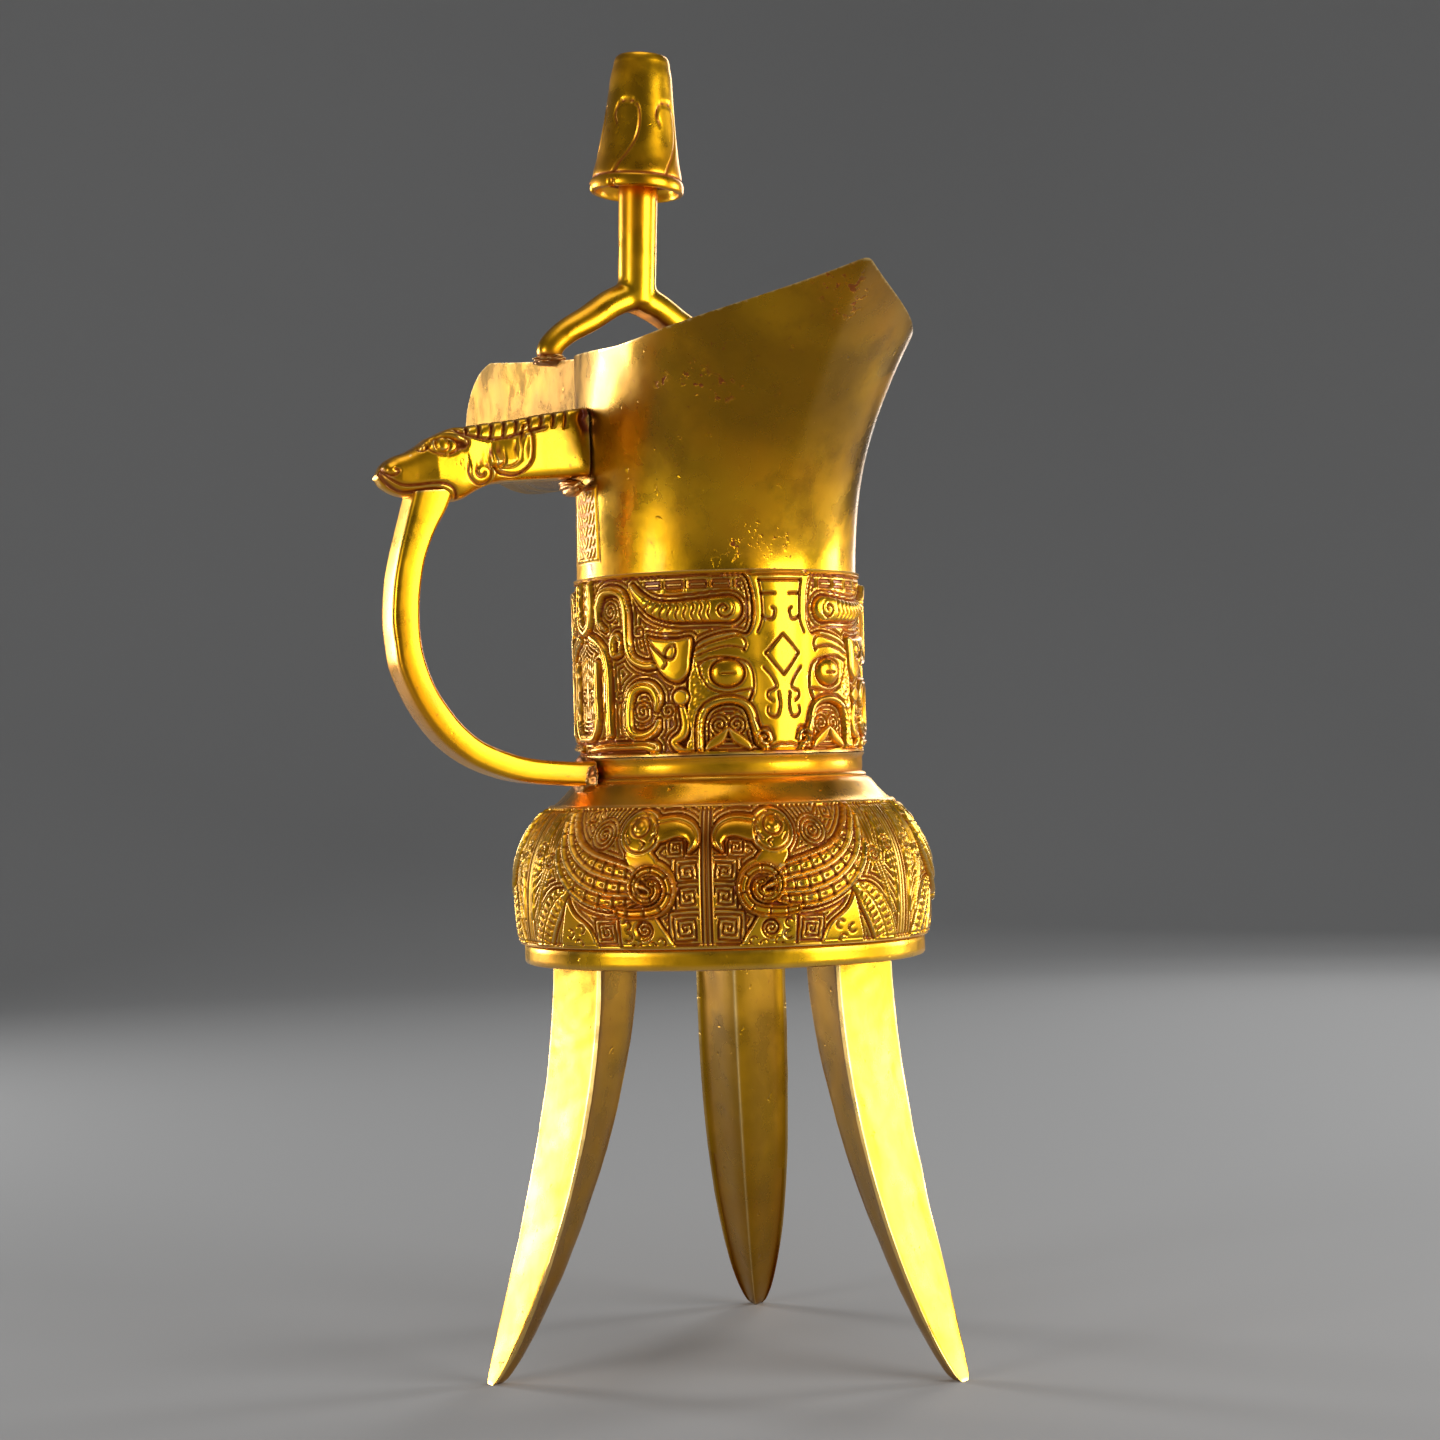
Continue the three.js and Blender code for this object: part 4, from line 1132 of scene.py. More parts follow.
def loft(name: str, rings: Sequence[Array]) -> Piece:
    """Make a closed solid from rings with the same number of points."""
    count = len(rings[0])
    piece = add_mesh(name, np.vstack(rings), ring_faces(len(rings), count))
    face_outwards(piece)
    return piece


@dataclass
class VesselBody:
    """Plain parts of the casting: the lower body with its bands, and the mouth with its spout."""

    steps: int = 288
    seam_z: float = 144.4
    under_band: float = 0.45
    voxel: float = 0.72
    smoothing: int = 14
    trough_halves: tuple[float, float] = (19.3, 14.0)
    trough_lows: tuple[float, float] = (164.0, 170.0)
    trough_root_drop: float = 16.0
    margin: float = 12.0
    hollow_rise: float = 1.0
    rim_overrun: float = 36.0
    tip_lowness: float = 0.66
    block_levels: tuple[float, float, float] = (173.0, 160.0, 230.0)
    pitting: tuple[tuple[float, float, float], ...] = (
        (-4, 190.8, 3.4), (0, 188.8, 4.4), (-39, 177.5, 2.2), (-29, 177.3, 3.6), (-22, 175.2, 3.2),
        (-11, 152.5, 1.6), (-1, 150.0, 2.8), (-11, 149.0, 4.0), (-18, 148.6, 3.0), (-34, 168.5, 1.4),
        (66, 174.0, 1.6), (-84, 171.0, 2.6), (-87, 148.0, 3.0), (120, 165.0, 4.0), (170, 170.0, 4.5),
        (205, 158.0, 3.5), (255, 168.0, 3.0), (95, 183.0, 3.0),
    )

    def ring(self, z: float, inset: float, steps: int | None = None) -> Array:
        """Ring of points round the body at a height, drawn in by an inset."""
        theta = np.arange(steps or self.steps) * (2 * math.pi / (steps or self.steps))
        radius = FORM.radius(theta, z) - inset
        return round_axis(radius, theta, z)

    def lower(self) -> Piece:
        """Lower body: base band, backing of the carved bands, shoulder, neck and the hollow."""
        f = FORM
        rings = []
        under = self.under_band
        base = f.leg_height
        for inset, rise in ((26, 0.0), (3.0, -0.15), (0.9, -0.1), (0.25, 0.12), (0.0, 0.5)):
            rings.append(self.set_height(self.ring(base, inset), base + rise))
        rings += [self.ring(base + h, 0.0) for h in (1.2, 2.4, 3.2)]
        for inset, drop in ((0.15, 0.35), (0.55, 0.05)):
            rings.append(self.set_height(self.ring(base + 3.4, inset), f.belly_z - drop))
        for z in np.linspace(f.belly_z + 0.05, f.shoulder_z - 0.35, 26):
            rings.append(self.ring(float(z), under))
        rings += [self.ring(f.shoulder_z + h, 0.0) for h in (0.02, 0.4, 0.9, 1.5, 2.2, 3.0, 3.7)]
        ridge = f.neck_z
        for inset, rise in ((-0.45, -0.35), (-0.55, -0.05), (-0.35, 0.28), (0.25, 0.55)):
            rings.append(self.set_height(self.ring(ridge, inset), ridge + rise))
        rings += [self.ring(ridge + h, 0.12) for h in (1.2, 2.2, 3.1)]
        for inset, drop in ((-0.15, 0.55), (-0.3, 0.2)):
            rings.append(self.set_height(self.ring(ridge + 1, inset), f.mask_z - drop))
        for z in np.linspace(f.mask_z + 0.05, f.upper_z - 0.45, 12):
            rings.append(self.ring(float(z), under))
        rings += [self.ring(self.seam_z + 0.35, 0.0), self.ring(self.seam_z + 0.38, f.wall)]
        floor = f.leg_height + f.floor
        for z in np.linspace(f.upper_z - 1, f.neck_z, 8):
            rings.append(self.ring(float(z), f.wall))
        for share in (0.9, 0.75, 0.6, 0.42, 0.3):
            rings.append(self.ring(f.belly_z + share * f.belly_height, f.wall))
        for rise, inset in ((5.2, 3.4), (3.2, 4.6), (1.6, 7.2), (0.7, 10.5), (0.25, 15.0), (0.0, 26.0)):
            rings.append(self.set_height(self.ring(f.belly_z + 3, inset), floor + rise))
        piece = loft("vessel_lower_body", rings)
        shade(piece, 35)
        return piece

    @staticmethod
    def set_height(ring: Array, z: float) -> Array:
        """Move a ring to another height."""
        moved = ring.copy()
        moved[:, 2] = z
        return moved

    def block_top(self, inset: float) -> float:
        """Top of the blocks that the rim is cut from, a little higher where they are a hollow."""
        return FORM.rim_low_z + FORM.spout_rise + self.margin + (self.hollow_rise if inset else 0.0)

    def trough(self, inset: float) -> Piece:
        """Spout's trough as a solid, its section drawn in by an inset."""
        rings = []
        for share in np.linspace(0, 1, 40):
            x = lerp(-0.55 * FORM.mask_band_radius, -FORM.spout_reach - 2, share)
            half = lerp(*self.trough_halves, share**0.7) - inset
            low = lerp(*self.trough_lows, share**0.6) - self.trough_root_drop * (1 - share) ** 6 + inset
            top = self.block_top(inset)
            angles = np.linspace(0, math.pi, 41)
            drop = low + half * (1 - np.sin(angles))
            curve = np.stack([np.full_like(angles, x), -half * np.cos(angles), drop], axis=-1)
            rings.append(np.vstack([[[x, half, top], [x, -half, top]], curve]))
        return loft("trough", rings)

    def above_rim(self) -> Piece:
        """Block that lies above the rim and past the spout's tip."""
        f = FORM
        end_x = f.tail_reach + self.rim_overrun
        arc_x = -f.spout_reach + f.spout_tip_rounding
        xs = np.linspace(end_x, arc_x, 120)
        outline = [(float(x), float(f.rim_height(np.array(x)))) for x in xs]
        tip_z = outline[-1][1]
        for i in range(1, 25):
            angle = i / 24 * math.pi / 2
            outline.append(
                (
                    arc_x - f.spout_tip_rounding * math.sin(angle),
                    tip_z - self.tip_lowness * f.spout_tip_rounding * (1 - math.cos(angle)),
                )
            )
        far_x = -f.spout_reach - 20
        under, bottom, top = self.block_levels
        outline += [(2 - f.spout_reach, under), (5 - f.spout_reach, bottom)]
        outline += [(far_x, bottom), (far_x, top), (end_x, top)]
        rings = [np.array([(x, y, z) for x, z in outline]) for y in (-50.0, 50.0)]
        return loft("above_rim", rings)

    def flowing(self, name: str, inset: float) -> Piece:
        """Upper body and trough as one solid whose joint flows, drawn in by an inset."""
        top = self.block_top(inset)
        low = self.seam_z - (5 if inset else 3)
        heights = [low, *np.linspace(self.seam_z + 0.5, top, 44)]
        solid = loft(name, [self.ring(float(z), inset) for z in heights])
        combine(solid, self.trough(inset), "UNION")
        apply_modifier(solid, "REMESH", mode="VOXEL", voxel_size=self.voxel * MM, adaptivity=0.0)
        apply_modifier(solid, "SMOOTH", factor=0.5, iterations=self.smoothing)
        return solid

    def mouth(self) -> Piece:
        """Upper body, flared mouth, pointed tail and spout, in one flowing surface."""
        outside = self.flowing("vessel_mouth", 0.0)
        combine(outside, self.flowing("mouth_hollow", FORM.wall), "DIFFERENCE")
        combine(outside, self.above_rim(), "DIFFERENCE")
        square = np.array([(-120.0, -120.0), (120.0, -120.0), (120.0, 120.0), (-120.0, 120.0)])
        below = [np.column_stack([square, np.full(4, z)]) for z in (self.seam_z - 20, self.seam_z)]
        combine(outside, loft("below_seam", below), "DIFFERENCE")
        outside.name = "vessel_mouth"
        face_outwards(outside)
        self.age(outside)
        shade(outside, 40)
        return outside

    def age(self, piece: Piece) -> None:
        """Mark painted shade on the flared mouth, strongest on the spout's side, under random tarnished
        clouds, and mark where its casting is pitted.
        """
        points = points_of(piece)
        degrees = np.degrees(np.arctan2(points[:, 1], points[:, 0]))
        # Painted shade: the flare darkens towards olive as it rises, and more on the spout's side about -110
        # degrees; the cloud noise adds random tarnished patches.
        flare = smoothstep(152.0, 172.0, points[:, 2] + 3.0 * smooth_noise(61, points, 22.0))
        cloud = 0.5 + 0.5 * smooth_noise(62, points, 13.0)
        spout_side_shade = flare * smoothstep(75.0, 35.0, np.abs(degrees + 110.0))
        flare_shade_and_cloud = flare * (0.45 + 0.55 * cloud) + 0.22 * cloud
        set_mark(piece, "shade_and_tarnish", np.clip(np.maximum(flare_shade_and_cloud, spout_side_shade), 0, 1))
        pitted = np.zeros(len(points))
        radius = np.hypot(points[:, 0], points[:, 1])
        for angle, height, spread in self.pitting:
            aside = np.radians((degrees - angle + 180) % 360 - 180) * radius
            away = np.hypot(aside, points[:, 2] - height) / spread
            pitted = np.maximum(pitted, smoothstep(1.0, 0.3, away))
        outside = vertex_values(piece, "normal") * points
        pitted *= (outside[:, 0] + outside[:, 1]) > 0
        set_mark(piece, "pitting", pitted)

    def build(self) -> list[Piece]:
        """Build the plain parts of the body."""
        return [self.lower(), self.mouth()]


@dataclass
class BladeLeg:
    """A leg: a blade with a flat, slightly rounded outer face and a ridge that points inwards."""

    angles: tuple[float, ...] = (-90.0, 30.0, 150.0)
    root_radius: float = 31.0
    tip_radius: float = 49.1
    width: float = 18.0
    depth: float = 13.2
    foot_width: float = 2.4
    foot_depth: float = 2.6
    curve_power: float = 1.75
    sides: int = 20
    twist: tuple[float, ...] = (5.0, 0.0, -1.5)

    def section(self, half: float, depth: float) -> list[Point2]:
        """Outline of the blade as (outwards, sideways) from its outer face, with soft corners."""
        lip = min(0.8, 0.2 * half)
        front = [(-(t**2) * 0.035 * half, t * half) for t in np.linspace(-0.92, 0.92, self.sides)]
        corner = [(-0.35 * lip, 0.985 * half), (-1.3 * lip, 0.99 * half)]
        flank = []
        for t in np.linspace(0.08, 0.95, 9):
            bulge = math.sin(math.pi * t)
            flank.append((-depth * (t + 0.10 * bulge), half * 0.985 * (1 - t) * (1 - 0.16 * bulge)))
        tip = [(-depth, 0.0)]
        mirror = [(r, -t) for r, t in reversed(flank)]
        mirror_corner = [(-1.3 * lip, -0.99 * half), (-0.35 * lip, -0.985 * half)]
        return [(float(r), float(t)) for r, t in [*front, *corner, *flank, *tip, *mirror, *mirror_corner]]

    def build_one(self, name: str, angle: float, twist: float) -> Piece:
        """Build the leg that stands at an angle, its blade turned a little about its own length."""
        turn = math.radians(angle)
        out = np.array([math.cos(turn), math.sin(turn), 0.0])
        turn += math.radians(twist)
        front = np.array([math.cos(turn), math.sin(turn), 0.0])
        side = np.array([-math.sin(turn), math.cos(turn), 0.0])
        rings = []
        for share in [-0.028, *np.linspace(0.0, 1.0, 110)]:
            z = FORM.leg_height * (1 - share)
            s = max(share, 0.0)
            radius = lerp(self.root_radius, self.tip_radius, s**self.curve_power)
            half = lerp(self.foot_width, self.width, (1 - s**3) ** 0.68) / 2
            depth = lerp(self.foot_depth, self.depth, (1 - s**1.35) ** 0.6)
            middle = out * (radius - depth / 3) + np.array([0, 0, z])
            rings.append(
                np.array([middle + front * (r + depth / 3) + side * t for r, t in self.section(half, depth)])
            )
        piece = loft(name, rings)
        self.wear_and_painted_light(piece, angle)
        shade(piece, 50)
        return piece

    @staticmethod
    def wear_and_painted_light(piece: Piece, angle: float) -> None:
        """Let the blade's faces waver a little, as filed castings do, and paint shade on its flanks."""
        points = vertex_values(piece, "co")
        normals = vertex_values(piece, "normal")
        seed = int(angle) + 200
        wave = smooth_noise(seed, points / MM, 16.0) * 0.11
        wave = wave + smooth_noise(seed + 1, points / MM, 4.5) * 0.035
        still = smoothstep(0.4, 3.0, points[:, 2] / MM)
        inward = -np.abs(wave) * still
        points += normals * inward[:, None] * MM
        move_points(piece, points)
        # Painted shade: faces are darkened towards olive the more they turn away from the outer face, with a
        # little random tarnished cloud over them.
        turn = math.radians(angle)
        facing = normals[:, 0] * math.cos(turn) + normals[:, 1] * math.sin(turn)
        cloud = 0.12 * smooth_noise(seed + 2, points / MM, 14.0)
        set_mark(piece, "shade_and_tarnish", np.clip(smoothstep(0.55, 0.2, facing) + cloud, 0, 1))

    def build(self) -> list[Piece]:
        """Build the three legs."""
        names = ("leg_under_handle", "leg_tail_side", "leg_spout_side")
        return [self.build_one(*leg) for leg in zip(names, self.angles, self.twist)]


MANE_PITCH = 2.35
MANE_SLANT = 0.08
MANE_GROOVE = 0.26


def mane_ribs(rho: Array, z: Array) -> Array:
    """Slanted grooves of the mane, 1 on each of them."""
    beat = (rho / MANE_PITCH + MANE_SLANT * (z - 170)) % 1.0
    return hump((beat - 0.5) * MANE_PITCH, MANE_GROOVE)


@dataclass
class AnimalHandle:
    """Handle: a strap that bows out from the neck and up into the jaw of an animal's head."""

    strap_half_width: float = 3.95
    corner_power: float = 0.34
    width_reach: tuple[float, ...] = (27, 36, 46, 50, 56, 59.5, 62.5, 65, 66.3)
    half_widths: tuple[float, ...] = (4.1, 4.1, 4.4, 4.75, 4.7, 4.1, 3.7, 3.0, 1.6)
    strap_sides: int = 40
    outer: tuple[Point2, ...] = (
        (26.8, 106.6), (31.2, 106.9), (40.0, 107.7), (45.8, 109.2), (50.5, 111.3), (54.4, 114.0),
        (57.4, 117.0), (60.1, 120.8), (62.0, 124.3), (63.7, 128.6), (64.4, 133.0), (64.8, 137.5),
        (64.3, 143.8), (63.2, 149.2), (61.6, 155.0), (60.2, 160.0),
    )
    inner: tuple[Point2, ...] = (
        (26.8, 111.4), (31.0, 111.3), (39.0, 112.1), (44.2, 113.6), (48.6, 115.6), (52.0, 118.4),
        (54.6, 121.6), (56.8, 125.0), (58.3, 128.6), (59.3, 132.6), (59.6, 137.0), (59.3, 142.4),
        (58.2, 148.2), (56.3, 153.0), (54.0, 157.0), (52.5, 160.5),
    )
    top: tuple[Point2, ...] = (
        (26.6, 176.1), (31.5, 175.2), (35.8, 174.5), (39.8, 173.6), (43.7, 173.0), (47.6, 172.4),
        (50.4, 171.9), (52.6, 171.6), (55.3, 170.4), (58.2, 168.7), (60.9, 167.2), (63.3, 166.3),
        (65.3, 164.9), (66.3, 163.0),
    )
    under: tuple[Point2, ...] = (
        (26.6, 163.3), (32.0, 162.8), (36.5, 162.5), (40.3, 162.2), (43.6, 162.0), (46.4, 161.2),
        (48.8, 160.0), (51.2, 158.7), (54.2, 158.6), (57.5, 158.9), (60.3, 159.1), (62.8, 159.5),
        (65.2, 160.7), (66.3, 162.2),
    )

    def strap(self) -> Piece:
        """Strap with softly rounded edges, thin at the neck and thicker under the head."""
        outer = catmull(self.outer, 12)
        inner = catmull(self.inner, 12)
        rings = []
        for a, b in zip(outer, inner):
            centre = (a + b) / 2
            span = (a - b) / 2
            ring = []
            for k in range(self.strap_sides):
                angle = 2 * math.pi * k / self.strap_sides
                c, s = math.cos(angle), math.sin(angle)
                u = math.copysign(abs(c) ** self.corner_power, c)
                w = math.copysign(abs(s) ** self.corner_power, s)
                spot = centre + span * u
                ring.append((self.strap_half_width * w, -spot[0], spot[1]))
            rings.append(np.array(ring))
        piece = loft("handle_strap", rings)
        shade(piece, 60)
        return piece

    def head(self) -> Piece:
        """Animal's head, its details drawn into one closed grid."""
        top = catmull(self.top, 16)
        under = catmull(self.under, 16)
        around = 168
        angles = np.arange(around) * (2 * math.pi / around)
        rings = []
        marks = []
        for t, b in zip(top, under):
            middle = (t + b) / 2
            half_high = (t - b) / 2
            reach = middle[0]
            wide = float(np.interp(reach, self.width_reach, self.half_widths))
            c, s = np.cos(angles), np.sin(angles)
            square = np.interp(reach, [45, 52, 60, 66], [0.36, 0.5, 0.7, 0.9])
            u = np.sign(c) * np.abs(c) ** square
            w = np.sign(s) * np.abs(s) ** square
            rho = middle[0] + half_high[0] * u
            z = middle[1] + half_high[1] * u
            lift = self.side_relief(rho, z) * smoothstep(0.35, 0.75, np.abs(w))
            lift = lift + self.mane_relief(rho, z, w * wide, u)
            across = w * wide + np.sign(w) * lift * smoothstep(0.3, 0.7, np.abs(w))
            high = z + lift * smoothstep(0.5, 0.9, u)
            rings.append(np.stack([across, -rho, high], axis=-1))
            marks.append(lift)
        piece = loft("handle_head", rings)
        lifted = np.concatenate(marks)
        set_recess_and_shade(piece, smoothstep(0.02, -0.32, lifted))
        shade(piece, 70)
        return piece

    def side_relief(self, rho: Array, z: Array) -> Array:
        """Height of the eye, ear, mouth line and nostril on the head's side."""
        lift = np.zeros_like(rho)

        def near(points: Sequence[Point2]) -> Array:
            return curve_distance(catmull(points, 6), rho, z, FAR)

        eye = np.hypot((rho - 54.8) / 2.5, (z - 168.15) / 1.4)
        ball = np.hypot(rho - 55.1, z - 168.15) / 1.15
        lift += 0.3 * smoothstep(1.3, 0.9, eye) - 0.5 * hump(eye - 1.08, 0.15)
        lift += 0.55 * np.sqrt(np.clip(1 - ball**2, 0, 1)) - 0.3 * hump(ball - 1.05, 0.18)
        lift -= 0.85 * hump(np.hypot(rho - 51.4, z - 168.5), 0.8)
        lid = near(((58.6, 168.0), (56.3, 170.1), (53.2, 170.2), (50.9, 168.9)))
        lift += 0.3 * hump(lid, 0.5) - 0.35 * hump(lid - 0.75, 0.2)
        mane = near(
            (
                (52.6, 171.6), (51.3, 170.7), (48.6, 169.8), (46.0, 169.5), (42.9, 169.8),
                (39.4, 170.9), (35.2, 172.0),
            ),
        )
        lift -= 0.5 * hump(mane, 0.26)
        above = z > np.interp(
            rho, [35, 39.4, 42.9, 46, 48.6, 52.6], [172.0, 170.9, 169.8, 169.5, 169.8, 171.6],
        )
        ribs = mane_ribs(rho, z)
        inside = above * smoothstep(30.0, 31.5, rho) * smoothstep(52.0, 50.5, rho)
        lift -= 0.45 * inside * ribs
        ear_line = (
            (43.4, 165.4), (41.6, 165.3), (40.0, 166.6), (39.0, 168.6), (38.75, 170.4), (38.9, 172.0),
        )
        ear = near(ear_line)
        width = np.interp(z, [165, 166.5, 168.5, 170.5, 172.2], [2.0, 1.8, 1.2, 0.8, 0.3])
        lift += 0.7 * within(ear - width, 0.3) - 0.5 * hump(ear - width - 0.1, 0.24)
        for groove in (
            ((38.9, 168.2), (40.7, 167.1), (42.6, 166.8), (44.0, 167.2)),
            ((39.3, 167.7), (40.6, 165.7), (42.2, 164.6), (43.8, 164.5)),
        ):
            lift -= 0.45 * hump(near(groove), 0.24)
        bulb = np.hypot(rho - 44.9, z - 165.9)
        lift += 0.8 * np.sqrt(np.clip(1 - (bulb / 1.4) ** 2, 0, 1)) - 0.4 * hump(bulb - 1.55, 0.22)
        turns = np.linspace(0.0, 1.55 * 2 * math.pi, 26)
        reach = np.linspace(0.45, 2.75, 26)
        coil = [(47.7 + r * math.cos(t + 3.6), 163.5 + r * math.sin(t + 3.6)) for r, t in zip(reach, turns)]
        lift += 0.2 * smoothstep(3.0, 2.4, np.hypot(rho - 47.7, z - 163.5))
        lift -= 0.5 * hump(near(coil), 0.26)
        lower = (
            (66.2, 163.6), (65.6, 162.1), (64.2, 160.8), (62.4, 159.9), (60.2, 160.0), (57.2, 160.4),
            (55.0, 160.2), (53.6, 159.0),
        )
        upper = (
            (66.0, 164.8), (65.2, 163.0), (63.8, 161.8), (62.0, 161.1), (59.4, 161.2), (56.8, 161.5),
            (54.6, 161.4), (53.0, 160.5), (52.3, 158.9),
        )
        lift -= 0.6 * hump(near(lower), 0.28)
        lift -= 0.5 * hump(near(upper), 0.24)
        nostril = near(
            ((65.2, 165.0), (65.9, 164.0), (65.0, 163.0), (63.6, 162.9), (62.9, 163.6), (63.5, 164.0)),
        )
        lift -= 0.45 * hump(nostril, 0.24)
        lift += 0.4 * hump(np.hypot(rho - 64.5, z - 164.1), 0.9)
        crack = near(((27.2, 175.4), (28.0, 173.6), (27.3, 171.8)))
        lift -= 0.8 * hump(crack, 0.7)
        return lift

    @staticmethod
    def mane_relief(rho: Array, z: Array, across: Array, up: Array) -> Array:
        """Height of the ribbed mane along the top of the head."""
        top = smoothstep(0.55, 0.85, up)
        strip = smoothstep(30.0, 31.5, rho) * smoothstep(52.5, 50.5, rho)
        ribs = mane_ribs(rho, z)
        parting = hump(across, 0.3)
        brow = hump(rho - 57.0, 0.7) * 0.25
        return top * strip * (-0.16 * ribs - 0.2 * parting) + top * brow

    def build(self) -> list[Piece]:
        """Build the strap and the head."""
        return [self.strap(), self.head()]


@dataclass
class ForkedPost:
    """Post: an arched fork soldered across the rim, a rod, and a bell-shaped cap."""

    x: float = -36.0
    half_span: float = 18.0
    arm_radius: float = 3.1
    rise: float = 13.0
    rod_radius: float = 3.7
    height: float = 61.1
    cap_height: float = 27.5
    cap_top_radius: float = 5.6
    cap_skirt_radius: float = 9.4
    lean: Point2 = (0.028, 0.061)
    gap: float = 0.3
    voxel: float = 0.42
    hook_count: int = 5
    hook_start: float = -43.0
    hook_scale: float = 0.13
    hook_depth: float = 0.34
    hook_half: float = 0.27
    hook_line: tuple[Point2, ...] = (
        (-17.8, 0.467), (-24.0, 0.533), (-18.0, 0.607), (-1.0, 0.637), (15.5, 0.60), (20.5, 0.52),
        (19.6, 0.42), (14.2, 0.33), (3.5, 0.237), (-5.7, 0.17), (-12.0, 0.10),
    )

    @property
    def foot_z(self) -> float:
        """Level of the fork's feet."""
        return float(FORM.rim_height(np.array(self.x))) + self.gap

    def axis(self, height: float) -> Array:
        """Point on the post's leaning axis by its height over the rim."""
        run = max(height - self.rise, 0.0)
        return np.array([self.x + self.lean[0] * run, self.lean[1] * run, self.foot_z + height])

    @staticmethod
    def bar(
        name: str, path: Array, radii: Array, sides: int = 28, flat_under: float = 1.0
    ) -> Piece:
        """Round bar along a path, as thick as its radii say, its underside filed flat at a share of them."""
        rings = []
        for i, point in enumerate(path):
            ahead = path[min(i + 1, len(path) - 1)] - path[max(i - 1, 0)]
            tangent = ahead / np.linalg.norm(ahead)
            up = np.cross([1.0, 0.0, 0.0], tangent)
            up /= np.linalg.norm(up)
            over = np.cross(tangent, up)
            if up[2] < 0:
                up, over = -up, -over
            turn = np.arange(sides) * (2 * math.pi / sides)
            rise = np.maximum(np.cos(turn), -flat_under)
            rings.append(point + radii[i] * (rise[:, None] * up + np.sin(turn)[:, None] * over))
        return loft(name, rings)

    def fork(self) -> Piece:
        """Fork and rod, flowing into each other."""
        middle = self.foot_z + self.rise
        span = self.half_span
        arms = []
        for mirror in (1, -1):
            stops = [
                (-1.5, 0.4), (0.25 * span, -0.16 * self.rise), (0.52 * span, -0.4 * self.rise),
                (0.8 * span, -0.62 * self.rise), (0.98 * span, -0.84 * self.rise),
                (span, -self.rise + 0.05),
            ]
            path = catmull([(self.x, mirror * w, middle + drop) for w, drop in stops], 12)
            share = np.linspace(0, 1, len(path))
            radii = self.arm_radius * lerp(1.2, 0.82, share**1.3)
            arms.append(self.bar("arm", path, radii, flat_under=0.6))
        top = self.axis(self.height - 0.6 * self.cap_height)
        foot = np.array([self.x + 0.3, 0.8, middle - 1.5])
        rod_path = foot + (top - foot) * np.linspace(0, 1, 24)[:, None]
        rod = self.bar("post_fork", rod_path, self.rod_radius * np.linspace(1.02, 1.08, 24), 40)
        for arm in arms:
            combine(rod, arm, "UNION")
        bpy.ops.object.select_all(action="DESELECT")
        bpy.ops.mesh.primitive_cube_add(size=1.0)
        block = bpy.context.active_object
        block.scale = (40 * MM, 80 * MM, 20 * MM)
        block.location = (AXIS.x + self.x * MM, AXIS.y, (self.foot_z - 10) * MM)
        bpy.ops.object.transform_apply(location=True, rotation=True, scale=True)
        combine(rod, block, "DIFFERENCE")
        apply_modifier(rod, "REMESH", mode="VOXEL", voxel_size=self.voxel * MM, adaptivity=0.0)
        apply_modifier(rod, "SMOOTH", factor=0.5, iterations=14)
        rod.name = "post_fork"
        face_outwards(rod)
        points, normals = points_of(rod), vertex_values(rod, "normal")
        # Painted shade: faces turned downwards under the fork's crossing are darkened towards the red-brown
        # patina; near the feet the surface is also made darker towards the rim.
        under = smoothstep(0.15, 0.85, -normals[:, 2])
        under = under * smoothstep(middle + 1.0, middle - 2.0, points[:, 2])
        foot_darkening = smoothstep(2.2, 0.4, points[:, 2] - self.foot_z)
        underside_shade_and_foot_dark = np.clip(under * (0.75 + 0.35 * smooth_noise(71, points, 3.0)) + 0.6 * foot_darkening, 0, 1)
        set_recess_and_shade(rod, underside_shade_and_foot_dark)
        shade(rod, 80)
        return rod

    def cap(self) -> Piece:
        """Bell-shaped cap with a grooved lip and engraved hooks round its skirt."""
        around = 240
        theta = np.arange(around) * (2 * math.pi / around)
        h = self.cap_height
        skirt, top = self.cap_skirt_radius, self.cap_top_radius
        profile = [
            (0.4, 0.17), (3.0, 0.165), (6.0, 0.13), (skirt - 1.7, 0.07), (skirt - 1.1, 0.008),
            (skirt - 0.7, 0.0), (skirt - 0.2, 0.008), (skirt, 0.03), (skirt - 0.02, 0.06),
            (skirt - 0.22, 0.085), (skirt - 0.62, 0.098), (skirt - 0.5, 0.112), (skirt - 0.62, 0.15),
            (skirt - 1.15, 0.24), (skirt - 1.75, 0.38), (skirt - 2.3, 0.53), (skirt - 2.85, 0.70),
            (skirt - 3.25, 0.84), (top + 0.1, 0.92), (top - 0.05, 0.955), (top - 0.35, 0.985),
            (top - 0.95, 1.0), (top - 2.6, 1.0), (0.4, 1.0),
        ]
        line = catmull(profile, 7)
        lean = Vector((*self.lean, 1.0)).normalized()
        turn = np.array(Vector((0, 0, 1)).rotation_difference(lean).to_matrix())
        foot = self.axis(self.height - h)
        rings = []
        marks = []
        for radius, share in line:
            cut = self.hooks(theta, share) if 0.1 < share < 0.7 and radius > 5 else np.zeros(around)
            chip = 0.5 * hump(theta - 4.4, 0.10) * (share < 0.06) * (radius > skirt - 0.9)
            chip += 0.35 * hump(theta - 5.3, 0.06) * (share < 0.05) * (radius > skirt - 0.9)
            wide = radius - cut - chip
            ring = round_axis(wide, theta, np.full(around, share * h) + chip)
            rings.append(ring @ turn.T + foot)
            groove = float(hump(share - 0.1, 0.012)) * (radius > 6)
            hollow = 1.0 if share > 0.05 and radius < skirt - 1.9 and share < 0.2 else 0.0
            marks.append(np.clip(cut / 0.3 + groove + hollow, 0, 1))
        piece = loft("post_cap", rings)
        set_recess_and_shade(piece, np.concatenate(marks))
        shade(piece, 45)
        return piece

